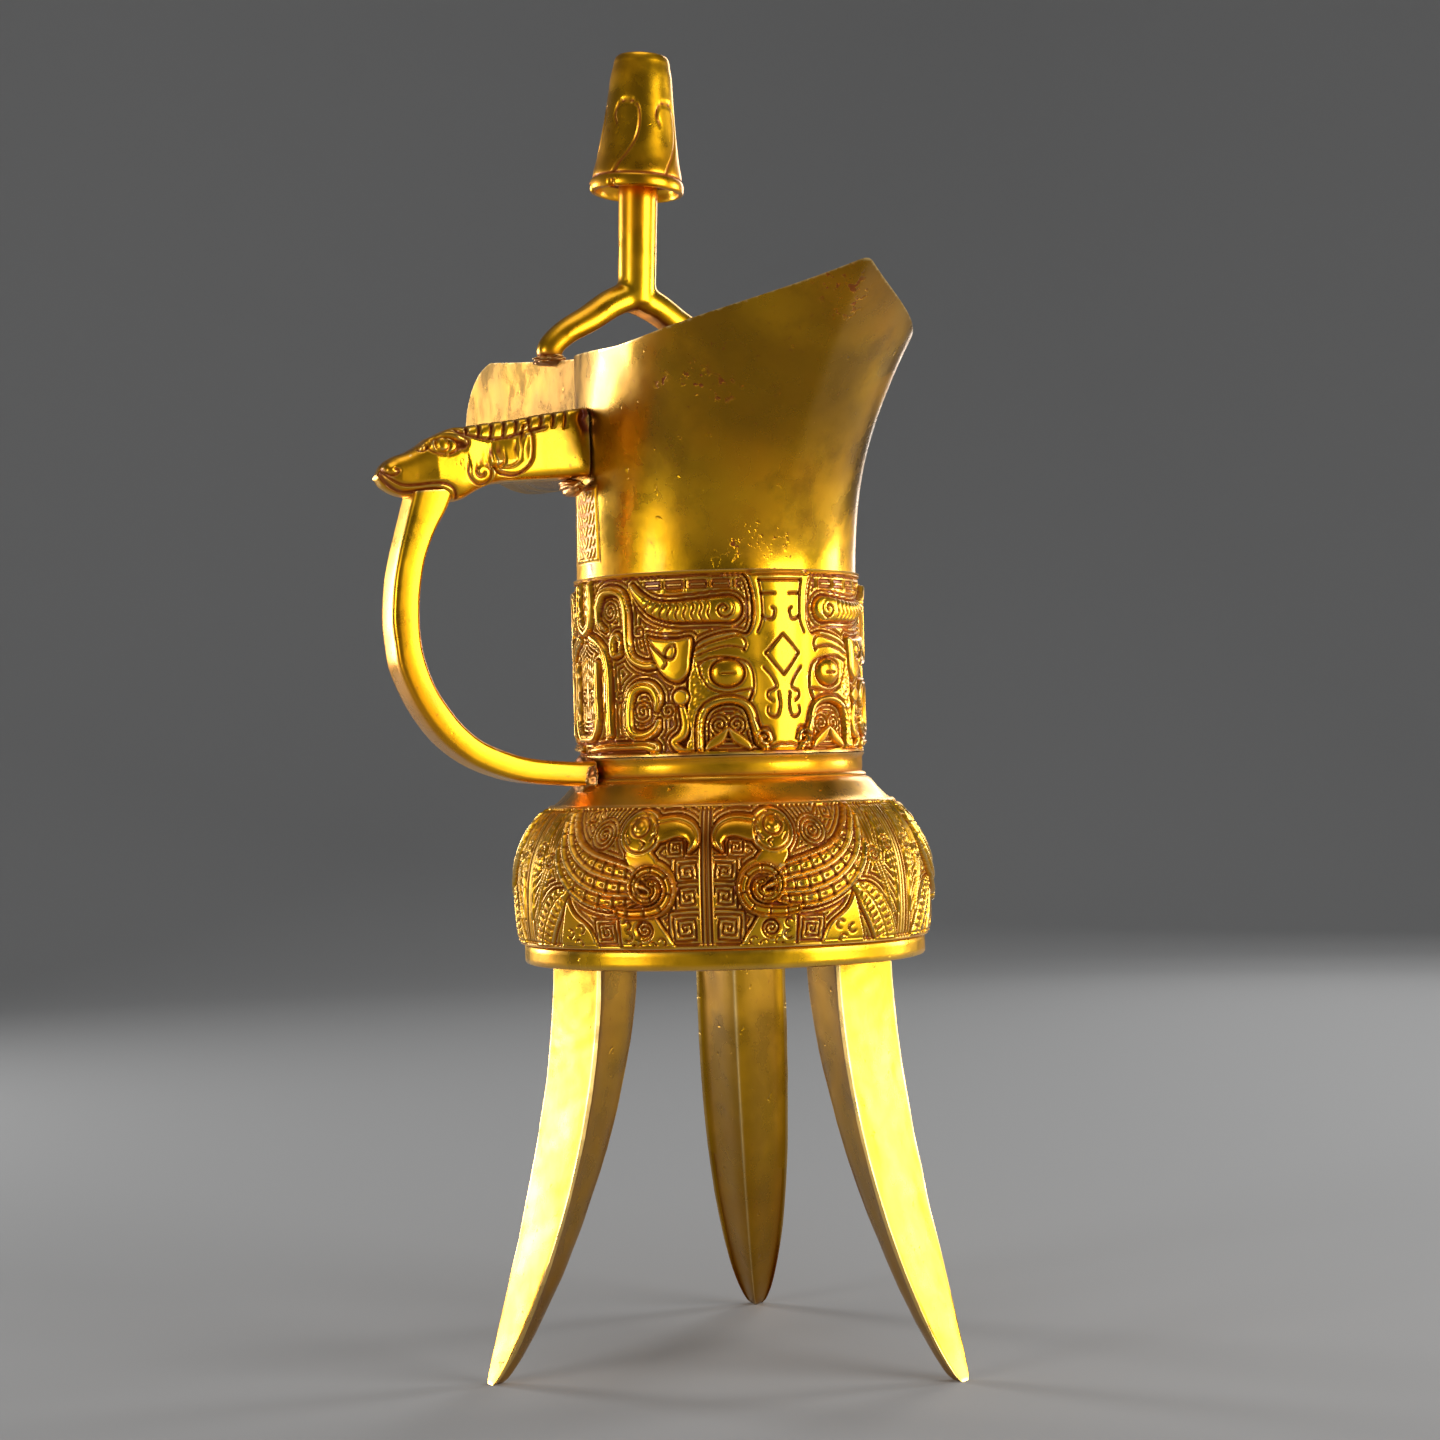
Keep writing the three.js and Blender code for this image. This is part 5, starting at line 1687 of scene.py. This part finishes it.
    def hooks(self, theta: Array, share: float) -> Array:
        """Depth of the hooked lines engraved round the cap's skirt."""
        cell = 2 * math.pi / self.hook_count
        local = (theta - math.radians(self.hook_start) + cell / 2) % cell - cell / 2
        arc = np.degrees(local) * self.hook_scale
        high = share * self.cap_height
        line = catmull([(a * self.hook_scale, b * self.cap_height) for a, b in self.hook_line], 5)
        return self.hook_depth * hump(curve_distance(line, arc, high, FAR), self.hook_half)

    def build(self) -> list[Piece]:
        """Build the fork with its rod, and the cap."""
        return [self.fork(), self.cap()]


@dataclass(frozen=True)
class SolderBead:
    """A low, rough bead of solder where a piece meets the cup."""

    name: str
    centre: tuple[float, float, float]
    radii: tuple[float, float, float]
    seed: int

    def build(self) -> Piece:
        """Build the bead as a rough flattened ball."""
        bpy.ops.object.select_all(action="DESELECT")
        bpy.ops.mesh.primitive_ico_sphere_add(subdivisions=5, radius=1.0)
        bead = bpy.context.active_object
        bead.name = self.name
        points = vertex_values(bead, "co")
        rough = 1 + 0.13 * smooth_noise(self.seed, points, 0.9)
        rough = rough + 0.07 * smooth_noise(self.seed + 1, points, 0.35)
        placed = points * rough[:, None] * np.array(self.radii) + np.array(self.centre)
        placed = placed * MM + np.array([AXIS.x, AXIS.y, 0.0])
        move_points(bead, placed)
        shade(bead, 80)
        return bead


class NodeGroups:
    """Shader effects that the finishes share, each built once as a node group."""

    def __init__(self) -> None:
        """Build the groups."""
        self.patina = self.build_patina()
        self.relief = self.build_relief()

    @staticmethod
    def new_group(
        name: str, inputs: dict[str, tuple[str, object]], outputs: dict[str, str],
    ) -> Tree:
        """Make a shader node group with named sockets."""
        tree = bpy.data.node_groups.new(name, "ShaderNodeTree")
        for label, (kind, value) in inputs.items():
            socket = tree.interface.new_socket(label, in_out="INPUT", socket_type=kind)
            socket.default_value = value
        for label, kind in outputs.items():
            tree.interface.new_socket(label, in_out="OUTPUT", socket_type=kind)
        return tree

    @staticmethod
    def noise(tree: Tree, scale: float, detail: float, rough: float = 0.55) -> bpy.types.Node:
        """Add a noise texture on object coordinates."""
        place = tree.nodes.new("ShaderNodeTexCoord")
        node = tree.nodes.new("ShaderNodeTexNoise")
        node.inputs["Scale"].default_value = scale
        node.inputs["Detail"].default_value = detail
        node.inputs["Roughness"].default_value = rough
        tree.links.new(place.outputs["Object"], node.inputs["Vector"])
        return node

    @staticmethod
    def ranged(
        tree: Tree, source: Socket, low: float, high: float,
    ) -> Socket:
        """Stretch a value from low..high to 0..1, smoothly."""
        node = tree.nodes.new("ShaderNodeMapRange")
        node.interpolation_type = "SMOOTHSTEP"
        node.inputs["From Min"].default_value = low
        node.inputs["From Max"].default_value = high
        tree.links.new(source, node.inputs["Value"])
        return node.outputs["Result"]

    @staticmethod
    def maths(tree: Tree, kind: str, a: object, b: object) -> Socket:
        """Add a Math node with sockets or numbers as its inputs."""
        node = tree.nodes.new("ShaderNodeMath")
        node.operation = kind
        for slot, value in enumerate((a, b)):
            if isinstance(value, Socket):
                tree.links.new(value, node.inputs[slot])
            else:
                node.inputs[slot].default_value = value
        return node.outputs[0]

    @staticmethod
    def mix(tree: Tree, share: object, a: object, b: object) -> Socket:
        """Add a colour mix with sockets or colours as its inputs."""
        node = tree.nodes.new("ShaderNodeMix")
        node.data_type = "RGBA"
        for slot, value in ((0, share), (6, a), (7, b)):
            if isinstance(value, Socket):
                tree.links.new(value, node.inputs[slot])
            else:
                node.inputs[slot].default_value = value
        return node.outputs[2]

    def build_patina(self) -> Tree:
        """Gilding with olive mottling, red-brown patina in the recesses and dark specks, with painted shade
        mixed in where a piece's marks carry it and a paler gold painted on convex edges as a highlight.
        """
        colour = "NodeSocketColor"
        value = "NodeSocketFloat"
        tree = self.new_group(
            "gilding_patina_and_painted_light",
            {
                "Gold": (colour, (1, 0.7, 0.15, 1)),
                "Deep gold": (colour, (0.7, 0.35, 0.05, 1)),
                "Olive": (colour, (0.4, 0.25, 0.05, 1)),
                "Patina": (colour, (0.25, 0.05, 0.01, 1)),
                "Recess and shade": (value, 0.0),
                "Shade and tarnish": (value, 0.0),
                "Mottling": (value, 0.4),
                "Cavity": (value, 1.0),
                "Wear_and_painted_light": (value, 0.5),
            },
            {"Color": colour, "Dirt and shade": value},
        )
        times, larger = (partial(self.maths, tree, kind) for kind in ("MULTIPLY", "MAXIMUM"))
        plus, minus = (partial(self.maths, tree, kind) for kind in ("ADD", "SUBTRACT"))
        noise, ranged, mix = (partial(made, tree) for made in (self.noise, self.ranged, self.mix))
        start = tree.nodes.new("NodeGroupInput")
        end = tree.nodes.new("NodeGroupOutput")
        broad = ranged(noise(26, 4).outputs["Fac"], 0.38, 0.66)
        middle = ranged(noise(95, 6, 0.62).outputs["Fac"], 0.45, 0.68)
        fine = ranged(noise(900, 3, 0.6).outputs["Fac"], 0.60, 0.74)
        base = mix(broad, start.outputs["Gold"], start.outputs["Deep gold"])
        olive_share = times(middle, start.outputs["Mottling"])
        base = mix(olive_share, base, start.outputs["Olive"])
        # Painted shade from the mouth's and legs' marks, with their random tarnished clouds, mixes towards
        # olive.
        shaded_and_tarnished = times(start.outputs["Shade and tarnish"], 0.85)
        base = mix(shaded_and_tarnished, base, start.outputs["Olive"])
        geometry = tree.nodes.new("ShaderNodeNewGeometry")
        # Painted highlight: convex edges, rims and stroke tops are mixed towards a paler gold, standing in
        # for the light they catch, partly also for rubbed gilding.
        edge = ranged(geometry.outputs["Pointiness"], 0.515, 0.575)
        edge = times(edge, start.outputs["Wear_and_painted_light"])
        base = mix(edge, base, (1.0, 0.72, 0.28, 1.0))
        hollow = ranged(geometry.outputs["Pointiness"], 0.5, 0.46)
        hollow = times(hollow, start.outputs["Cavity"])
        specks = times(fine, 0.45)
        specks = times(specks, plus(middle, 0.15))
        # Recesses and hollows take the red-brown patina; on the fork the same input also brings painted
        # shade, mixed towards the same colour.
        dirt_and_shade = larger(start.outputs["Recess and shade"], hollow)
        patchy = times(broad, 0.25)
        patina_and_shade_share = times(dirt_and_shade, minus(1.0, patchy))
        patina_and_shade_share = larger(patina_and_shade_share, specks)
        node = tree.nodes.new("ShaderNodeClamp")
        tree.links.new(patina_and_shade_share, node.inputs["Value"])
        result = mix(node.outputs[0], base, start.outputs["Patina"])
        tree.links.new(result, end.inputs["Color"])
        tree.links.new(node.outputs[0], end.inputs["Dirt and shade"])
        return tree

    def build_relief(self) -> Tree:
        """Small unevenness of a cast and gilded surface: soft dents, grain and pits."""
        value = "NodeSocketFloat"
        tree = self.new_group(
            "cast_surface",
            {"Dents": (value, 1.0), "Grain": (value, 1.0), "Pits": (value, 1.0), "Pitting": (value, 0.0)},
            {"Height": value, "Roughness": value, "Holes": value},
        )
        times, plus, minus = (partial(self.maths, tree, kind) for kind in ("MULTIPLY", "ADD", "SUBTRACT"))
        noise, ranged = (partial(made, tree) for made in (self.noise, self.ranged))
        start = tree.nodes.new("NodeGroupInput")
        end = tree.nodes.new("NodeGroupOutput")
        dents = times(noise(60, 3).outputs["Fac"], start.outputs["Dents"])
        grain = times(noise(1400, 3, 0.6).outputs["Fac"], start.outputs["Grain"])
        pits = ranged(noise(420, 2, 0.5).outputs["Fac"], 0.70, 0.76)
        pits = times(pits, start.outputs["Pits"])
        holes = ranged(noise(520, 3, 0.6).outputs["Fac"], 0.55, 0.62)
        holes = times(holes, start.outputs["Pitting"])
        tree.links.new(holes, end.inputs["Holes"])
        pits = plus(pits, times(holes, 3.0))
        uneven = plus(dents, times(grain, 0.08))
        height = minus(uneven, pits)
        tree.links.new(height, end.inputs["Height"])
        rough = ranged(noise(130, 5).outputs["Fac"], 0.3, 0.7)
        tree.links.new(rough, end.inputs["Roughness"])
        return tree


@dataclass(frozen=True)
class GiltFinish:
    """Fire-gilt bronze: polished gold where it is high, red-brown patina where it is low."""

    name: str
    gold: tuple[float, float, float] = (0.98, 0.52, 0.008)
    deep_gold: tuple[float, float, float] = (0.86, 0.36, 0.004)
    olive: tuple[float, float, float] = (0.34, 0.16, 0.002)
    patina: tuple[float, float, float] = (0.26, 0.034, 0.002)
    mottling: float = 0.35
    cavity: float = 1.0
    dents: float = 1.0
    grain: float = 1.0
    pits: float = 1.0
    smooth_rough: float = 0.22
    dull_rough: float = 0.40
    bump: float = 0.25
    # Strength of the paler gold painted on convex edges: painted highlight, partly rubbed edges.
    wear_and_painted_light: float = 0.6
    coat: float = 0.25
    carved: bool = False
    shaded_and_aged: bool = False

    @staticmethod
    def mark(tree: Tree, label: str) -> Socket:
        """Read a value that was stored at the points of the mesh."""
        node = tree.nodes.new("ShaderNodeAttribute")
        node.attribute_name = label
        return node.outputs["Fac"]

    def material(self, groups: NodeGroups) -> bpy.types.Material:
        """Build the material.

        Args:
            groups: The shared node groups.

        Returns:
            The finished material.
        """
        made = bpy.data.materials.new(self.name)
        made.use_nodes = True
        tree = made.node_tree
        shader = tree.nodes["Principled BSDF"]
        shader.inputs["IOR"].default_value = 1.5
        shader.inputs["Metallic"].default_value = 1.0
        shader.inputs["Coat Weight"].default_value = self.coat
        shader.inputs["Coat Roughness"].default_value = 0.16
        patina = tree.nodes.new("ShaderNodeGroup")
        patina.node_tree = groups.patina
        colours = {
            "Gold": self.gold, "Deep gold": self.deep_gold, "Olive": self.olive, "Patina": self.patina,
        }
        for label, colour in colours.items():
            patina.inputs[label].default_value = (*colour, 1.0)
        for label in ("Mottling", "Cavity", "Wear_and_painted_light"):
            patina.inputs[label].default_value = getattr(self, label.lower())
        surface = tree.nodes.new("ShaderNodeGroup")
        surface.node_tree = groups.relief
        if self.carved:
            tree.links.new(self.mark(tree, "recess_and_shade"), patina.inputs["Recess and shade"])
        if self.shaded_and_aged:
            tree.links.new(self.mark(tree, "shade_and_tarnish"), patina.inputs["Shade and tarnish"])
            tree.links.new(self.mark(tree, "pitting"), surface.inputs["Pitting"])
            tree.links.new(surface.outputs["Holes"], patina.inputs["Recess and shade"])
        for label in ("Dents", "Grain", "Pits"):
            surface.inputs[label].default_value = getattr(self, label.lower())
        rough = tree.nodes.new("ShaderNodeMapRange")
        rough.inputs["To Min"].default_value = self.smooth_rough
        rough.inputs["To Max"].default_value = self.dull_rough
        tree.links.new(surface.outputs["Roughness"], rough.inputs["Value"])
        dull = NodeGroups.maths(tree, "MULTIPLY", patina.outputs["Dirt and shade"], 0.3)
        total = NodeGroups.maths(tree, "ADD", rough.outputs["Result"], dull)
        bump = tree.nodes.new("ShaderNodeBump")
        bump.inputs["Strength"].default_value = self.bump
        bump.inputs["Distance"].default_value = 0.0006
        tree.links.new(surface.outputs["Height"], bump.inputs["Height"])
        tree.links.new(patina.outputs["Color"], shader.inputs["Base Color"])
        tree.links.new(total, shader.inputs["Roughness"])
        tree.links.new(bump.outputs["Normal"], shader.inputs["Normal"])
        # Less metallic where the patina and, on the fork, the painted shade lie.
        metal_loss = NodeGroups.maths(tree, "MULTIPLY", patina.outputs["Dirt and shade"], 0.35)
        metal = NodeGroups.maths(tree, "SUBTRACT", 1.0, metal_loss)
        tree.links.new(metal, shader.inputs["Metallic"])
        return made


@dataclass(frozen=True)
class SoftBox:
    """A large soft lamp, aimed at the cup."""

    name: str
    azimuth: float
    elevation: float
    distance: float
    size: tuple[float, float]
    power: float

    def build(self, target: Vector) -> None:
        """Hang the lamp."""
        light = bpy.data.lights.new(self.name, "AREA")
        light.shape = "RECTANGLE"
        light.size, light.size_y = self.size
        light.energy = self.power
        lamp = bpy.data.objects.new(self.name, light)
        bpy.context.scene.collection.objects.link(lamp)
        turn, rise = math.radians(self.azimuth), math.radians(self.elevation)
        away = Vector((math.sin(turn) * math.cos(rise), -math.cos(turn) * math.cos(rise), math.sin(rise)))
        lamp.location = target + away * self.distance
        lamp.rotation_euler = (target - lamp.location).to_track_quat("-Z", "Y").to_euler()


@dataclass
class Studio:
    """Camera, lamps and the pale floor, in metres and degrees."""

    aim_height: float = 0.13
    floor_reach: float = 0.9
    sweep: float = 0.7
    wall_height: float = 2.2
    camera_turn: float = -25.0
    camera_pitch: float = 0.836
    camera_roll: float = -1.5546
    camera_away: float = 0.5249
    camera_height: float = 0.1107
    camera_lens: float = 70.03
    lamps: tuple[SoftBox, ...] = (
        SoftBox("soft_box_right", 124, 8, 0.8, (0.46, 0.42), 4.4),
        SoftBox("soft_box_left", 14, 6, 0.8, (0.24, 0.3), 1.7),
        SoftBox("low_box_left", -58, 6, 0.8, (0.22, 0.3), 3.0),
        SoftBox("low_box_right", 175, 6, 0.8, (0.22, 0.3), 2.6),
        SoftBox("soft_box_over", 62, 80, 0.9, (0.5, 0.5), 1.2),
        SoftBox("soft_box_back", 222, 22, 0.9, (0.24, 0.6), 1.6),
    )

    def build(self) -> None:
        """Set up the studio."""
        target = AXIS + Vector((0, 0, self.aim_height))
        for lamp in self.lamps:
            lamp.build(target)
        bpy.context.scene.view_settings.view_transform = "Standard"
        self.floor()
        self.world()
        self.camera()

    def floor(self) -> None:
        """Lay the paper floor, which sweeps up into a wall all round."""
        count = 96
        steps = 16
        profile = [(0.02, 0.0), (self.floor_reach, 0.0)]
        for i in range(1, steps + 1):
            angle = i / steps * math.pi / 2
            radius = self.floor_reach + self.sweep * math.sin(angle)
            profile.append((radius, self.sweep * (1 - math.cos(angle))))
        profile.append((self.floor_reach + self.sweep, self.wall_height))
        turn = np.arange(count) * (2 * math.pi / count)
        rings = [round_axis(np.full(count, r), turn, z) for r, z in profile]
        faces = ring_faces(len(rings), count)[:-1]
        floor = add_mesh("studio_floor", np.vstack(rings) / MM, faces)
        shade(floor, 60)
        made = bpy.data.materials.new("pale_paper")
        made.use_nodes = True
        shader = made.node_tree.nodes["Principled BSDF"]
        shader.inputs["Base Color"].default_value = (0.36, 0.36, 0.36, 1)
        shader.inputs["Roughness"].default_value = 0.85
        floor.data.materials.append(made)

    @staticmethod
    def world() -> None:
        """Light the room evenly and softly."""
        world = bpy.data.worlds.new("studio")
        bpy.context.scene.world = world
        world.use_nodes = True
        back = world.node_tree.nodes["Background"]
        back.inputs["Color"].default_value = (0.62, 0.63, 0.65, 1)
        back.inputs["Strength"].default_value = 0.3

    def camera(self) -> None:
        """Place the camera as the photograph's stood."""
        turn = math.radians(self.camera_turn)
        out = Vector((math.cos(turn), math.sin(turn), 0))
        pitch = math.radians(self.camera_pitch)
        roll = math.radians(self.camera_roll)
        right = Vector((-out.y, out.x, 0))
        ahead = -out * math.cos(pitch) + Vector((0, 0, math.sin(pitch)))
        up = out * math.sin(pitch) + Vector((0, 0, math.cos(pitch)))
        turned_right = right * math.cos(roll) + up * math.sin(roll)
        turned_up = up * math.cos(roll) - right * math.sin(roll)
        data = bpy.data.cameras.new("camera")
        data.lens = self.camera_lens
        data.sensor_width = 36.0
        camera = bpy.data.objects.new("camera", data)
        bpy.context.scene.collection.objects.link(camera)
        place = AXIS + out * self.camera_away
        place.z = self.camera_height
        camera.matrix_world = Matrix(
            (
                (turned_right.x, turned_up.x, -ahead.x, place.x),
                (turned_right.y, turned_up.y, -ahead.y, place.y),
                (turned_right.z, turned_up.z, -ahead.z, place.z), (0, 0, 0, 1),
            )
        )
        bpy.context.scene.camera = camera


def dress(pieces: Sequence[Piece], finish: bpy.types.Material, node: Node) -> None:
    """Give pieces their finish, tie them to the body, and hide the imported part of the node they stand for.
    """
    for piece in pieces:
        piece.data.materials.clear()
        piece.data.materials.append(finish)
        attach(piece, "root")
        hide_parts(node.value)
        faces = sum(len(p.vertices) - 2 for p in piece.data.polygons)
        LOG.info("%s: %d triangles", piece.name, faces)


def main() -> None:
    """Build the cup and its studio."""
    logging.basicConfig(level=logging.INFO, format="%(name)s %(message)s")
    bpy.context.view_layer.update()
    groups = NodeGroups()
    plain = GiltFinish("gilt_plain_body", mottling=0.35, cavity=0.6, bump=0.3).material(groups)
    mouth = GiltFinish(
        "gilt_mouth", mottling=0.5, cavity=0.4, bump=0.3, wear_and_painted_light=0.9, shaded_and_aged=True,
    ).material(groups)
    carved = GiltFinish(
        "gilt_carved_bands", carved=True, mottling=0.2, cavity=0.0, bump=0.12, pits=0.5,
    ).material(groups)
    legs = GiltFinish(
        "gilt_legs", mottling=0.12, cavity=0.4, bump=0.22, coat=0.12, shaded_and_aged=True,
    ).material(groups)
    handle = GiltFinish(
        "gilt_handle_finish", carved=True, mottling=0.1, cavity=0.5, bump=0.12,
    ).material(groups)
    strap = GiltFinish("gilt_strap_finish", mottling=0.1, cavity=0.5, bump=0.15).material(groups)
    post = GiltFinish(
        "gilt_post_finish", carved=True, mottling=0.12, cavity=0.6, bump=0.14,
    ).material(groups)
    cap = GiltFinish("gilt_cap_finish", carved=True, mottling=0.1, cavity=0.4, bump=0.12).material(groups)
    solder = GiltFinish(
        "solder_beads", gold=(
            0.62, 0.26, 0.05,
        ), deep_gold=(0.38, 0.11, 0.03), mottling=0.8, cavity=1.0, bump=0.6
    ).material(groups)

    lower_body, flared_mouth = VesselBody().build()
    dress([lower_body], plain, Node.VESSEL)
    dress([flared_mouth], mouth, Node.VESSEL)
    birds = BirdFrieze(
        low=FORM.belly_z, height=FORM.belly_height, radius=38.0, half_degrees=60.0, pitch=0.19,
    )
    dress(birds.build("bird_frieze", (-30.0, 90.0, 210.0)), carved, Node.VESSEL)
    masks = MaskBand(
        low=FORM.mask_z, height=FORM.mask_band_height, radius=26.6, half_degrees=90.0, pitch=0.2,
    )
    dress(masks.build("mask_band", (0.0, 180.0)), carved, Node.VESSEL)
    panel = MarkPanel(low=147.4, height=14.2, radius=27.5, half_degrees=11.6, pitch=0.2, gain=1.0)
    dress(panel.build("mark_panel", (-90.0,)), carved, Node.VESSEL)
    dress(BladeLeg().build(), legs, Node.VESSEL)
    strap_piece, head = AnimalHandle().build()
    dress([strap_piece], strap, Node.HANDLE)
    dress([head], handle, Node.HANDLE)
    fork, bell = ForkedPost().build()
    dress([fork], post, Node.POST)
    dress([bell], cap, Node.POST)
    beads = [
        SolderBead("solder_handle_foot", (0.0, -27.6, 108.6), (5.0, 2.0, 3.2), 3),
        SolderBead("solder_head_under", (0.0, -28.6, 161.6), (4.3, 1.8, 1.6), 5),
        SolderBead("solder_fork_near", (-36.0, -18.0, 190.4), (3.3, 3.3, 1.1), 7),
        SolderBead("solder_fork_far", (-36.0, 18.0, 190.4), (3.3, 3.3, 1.1), 9),
    ]
    dress([bead.build() for bead in beads[:2]], solder, Node.HANDLE)
    dress([bead.build() for bead in beads[2:]], solder, Node.POST)
    Studio().build()


if __name__ == "__main__":
    main()
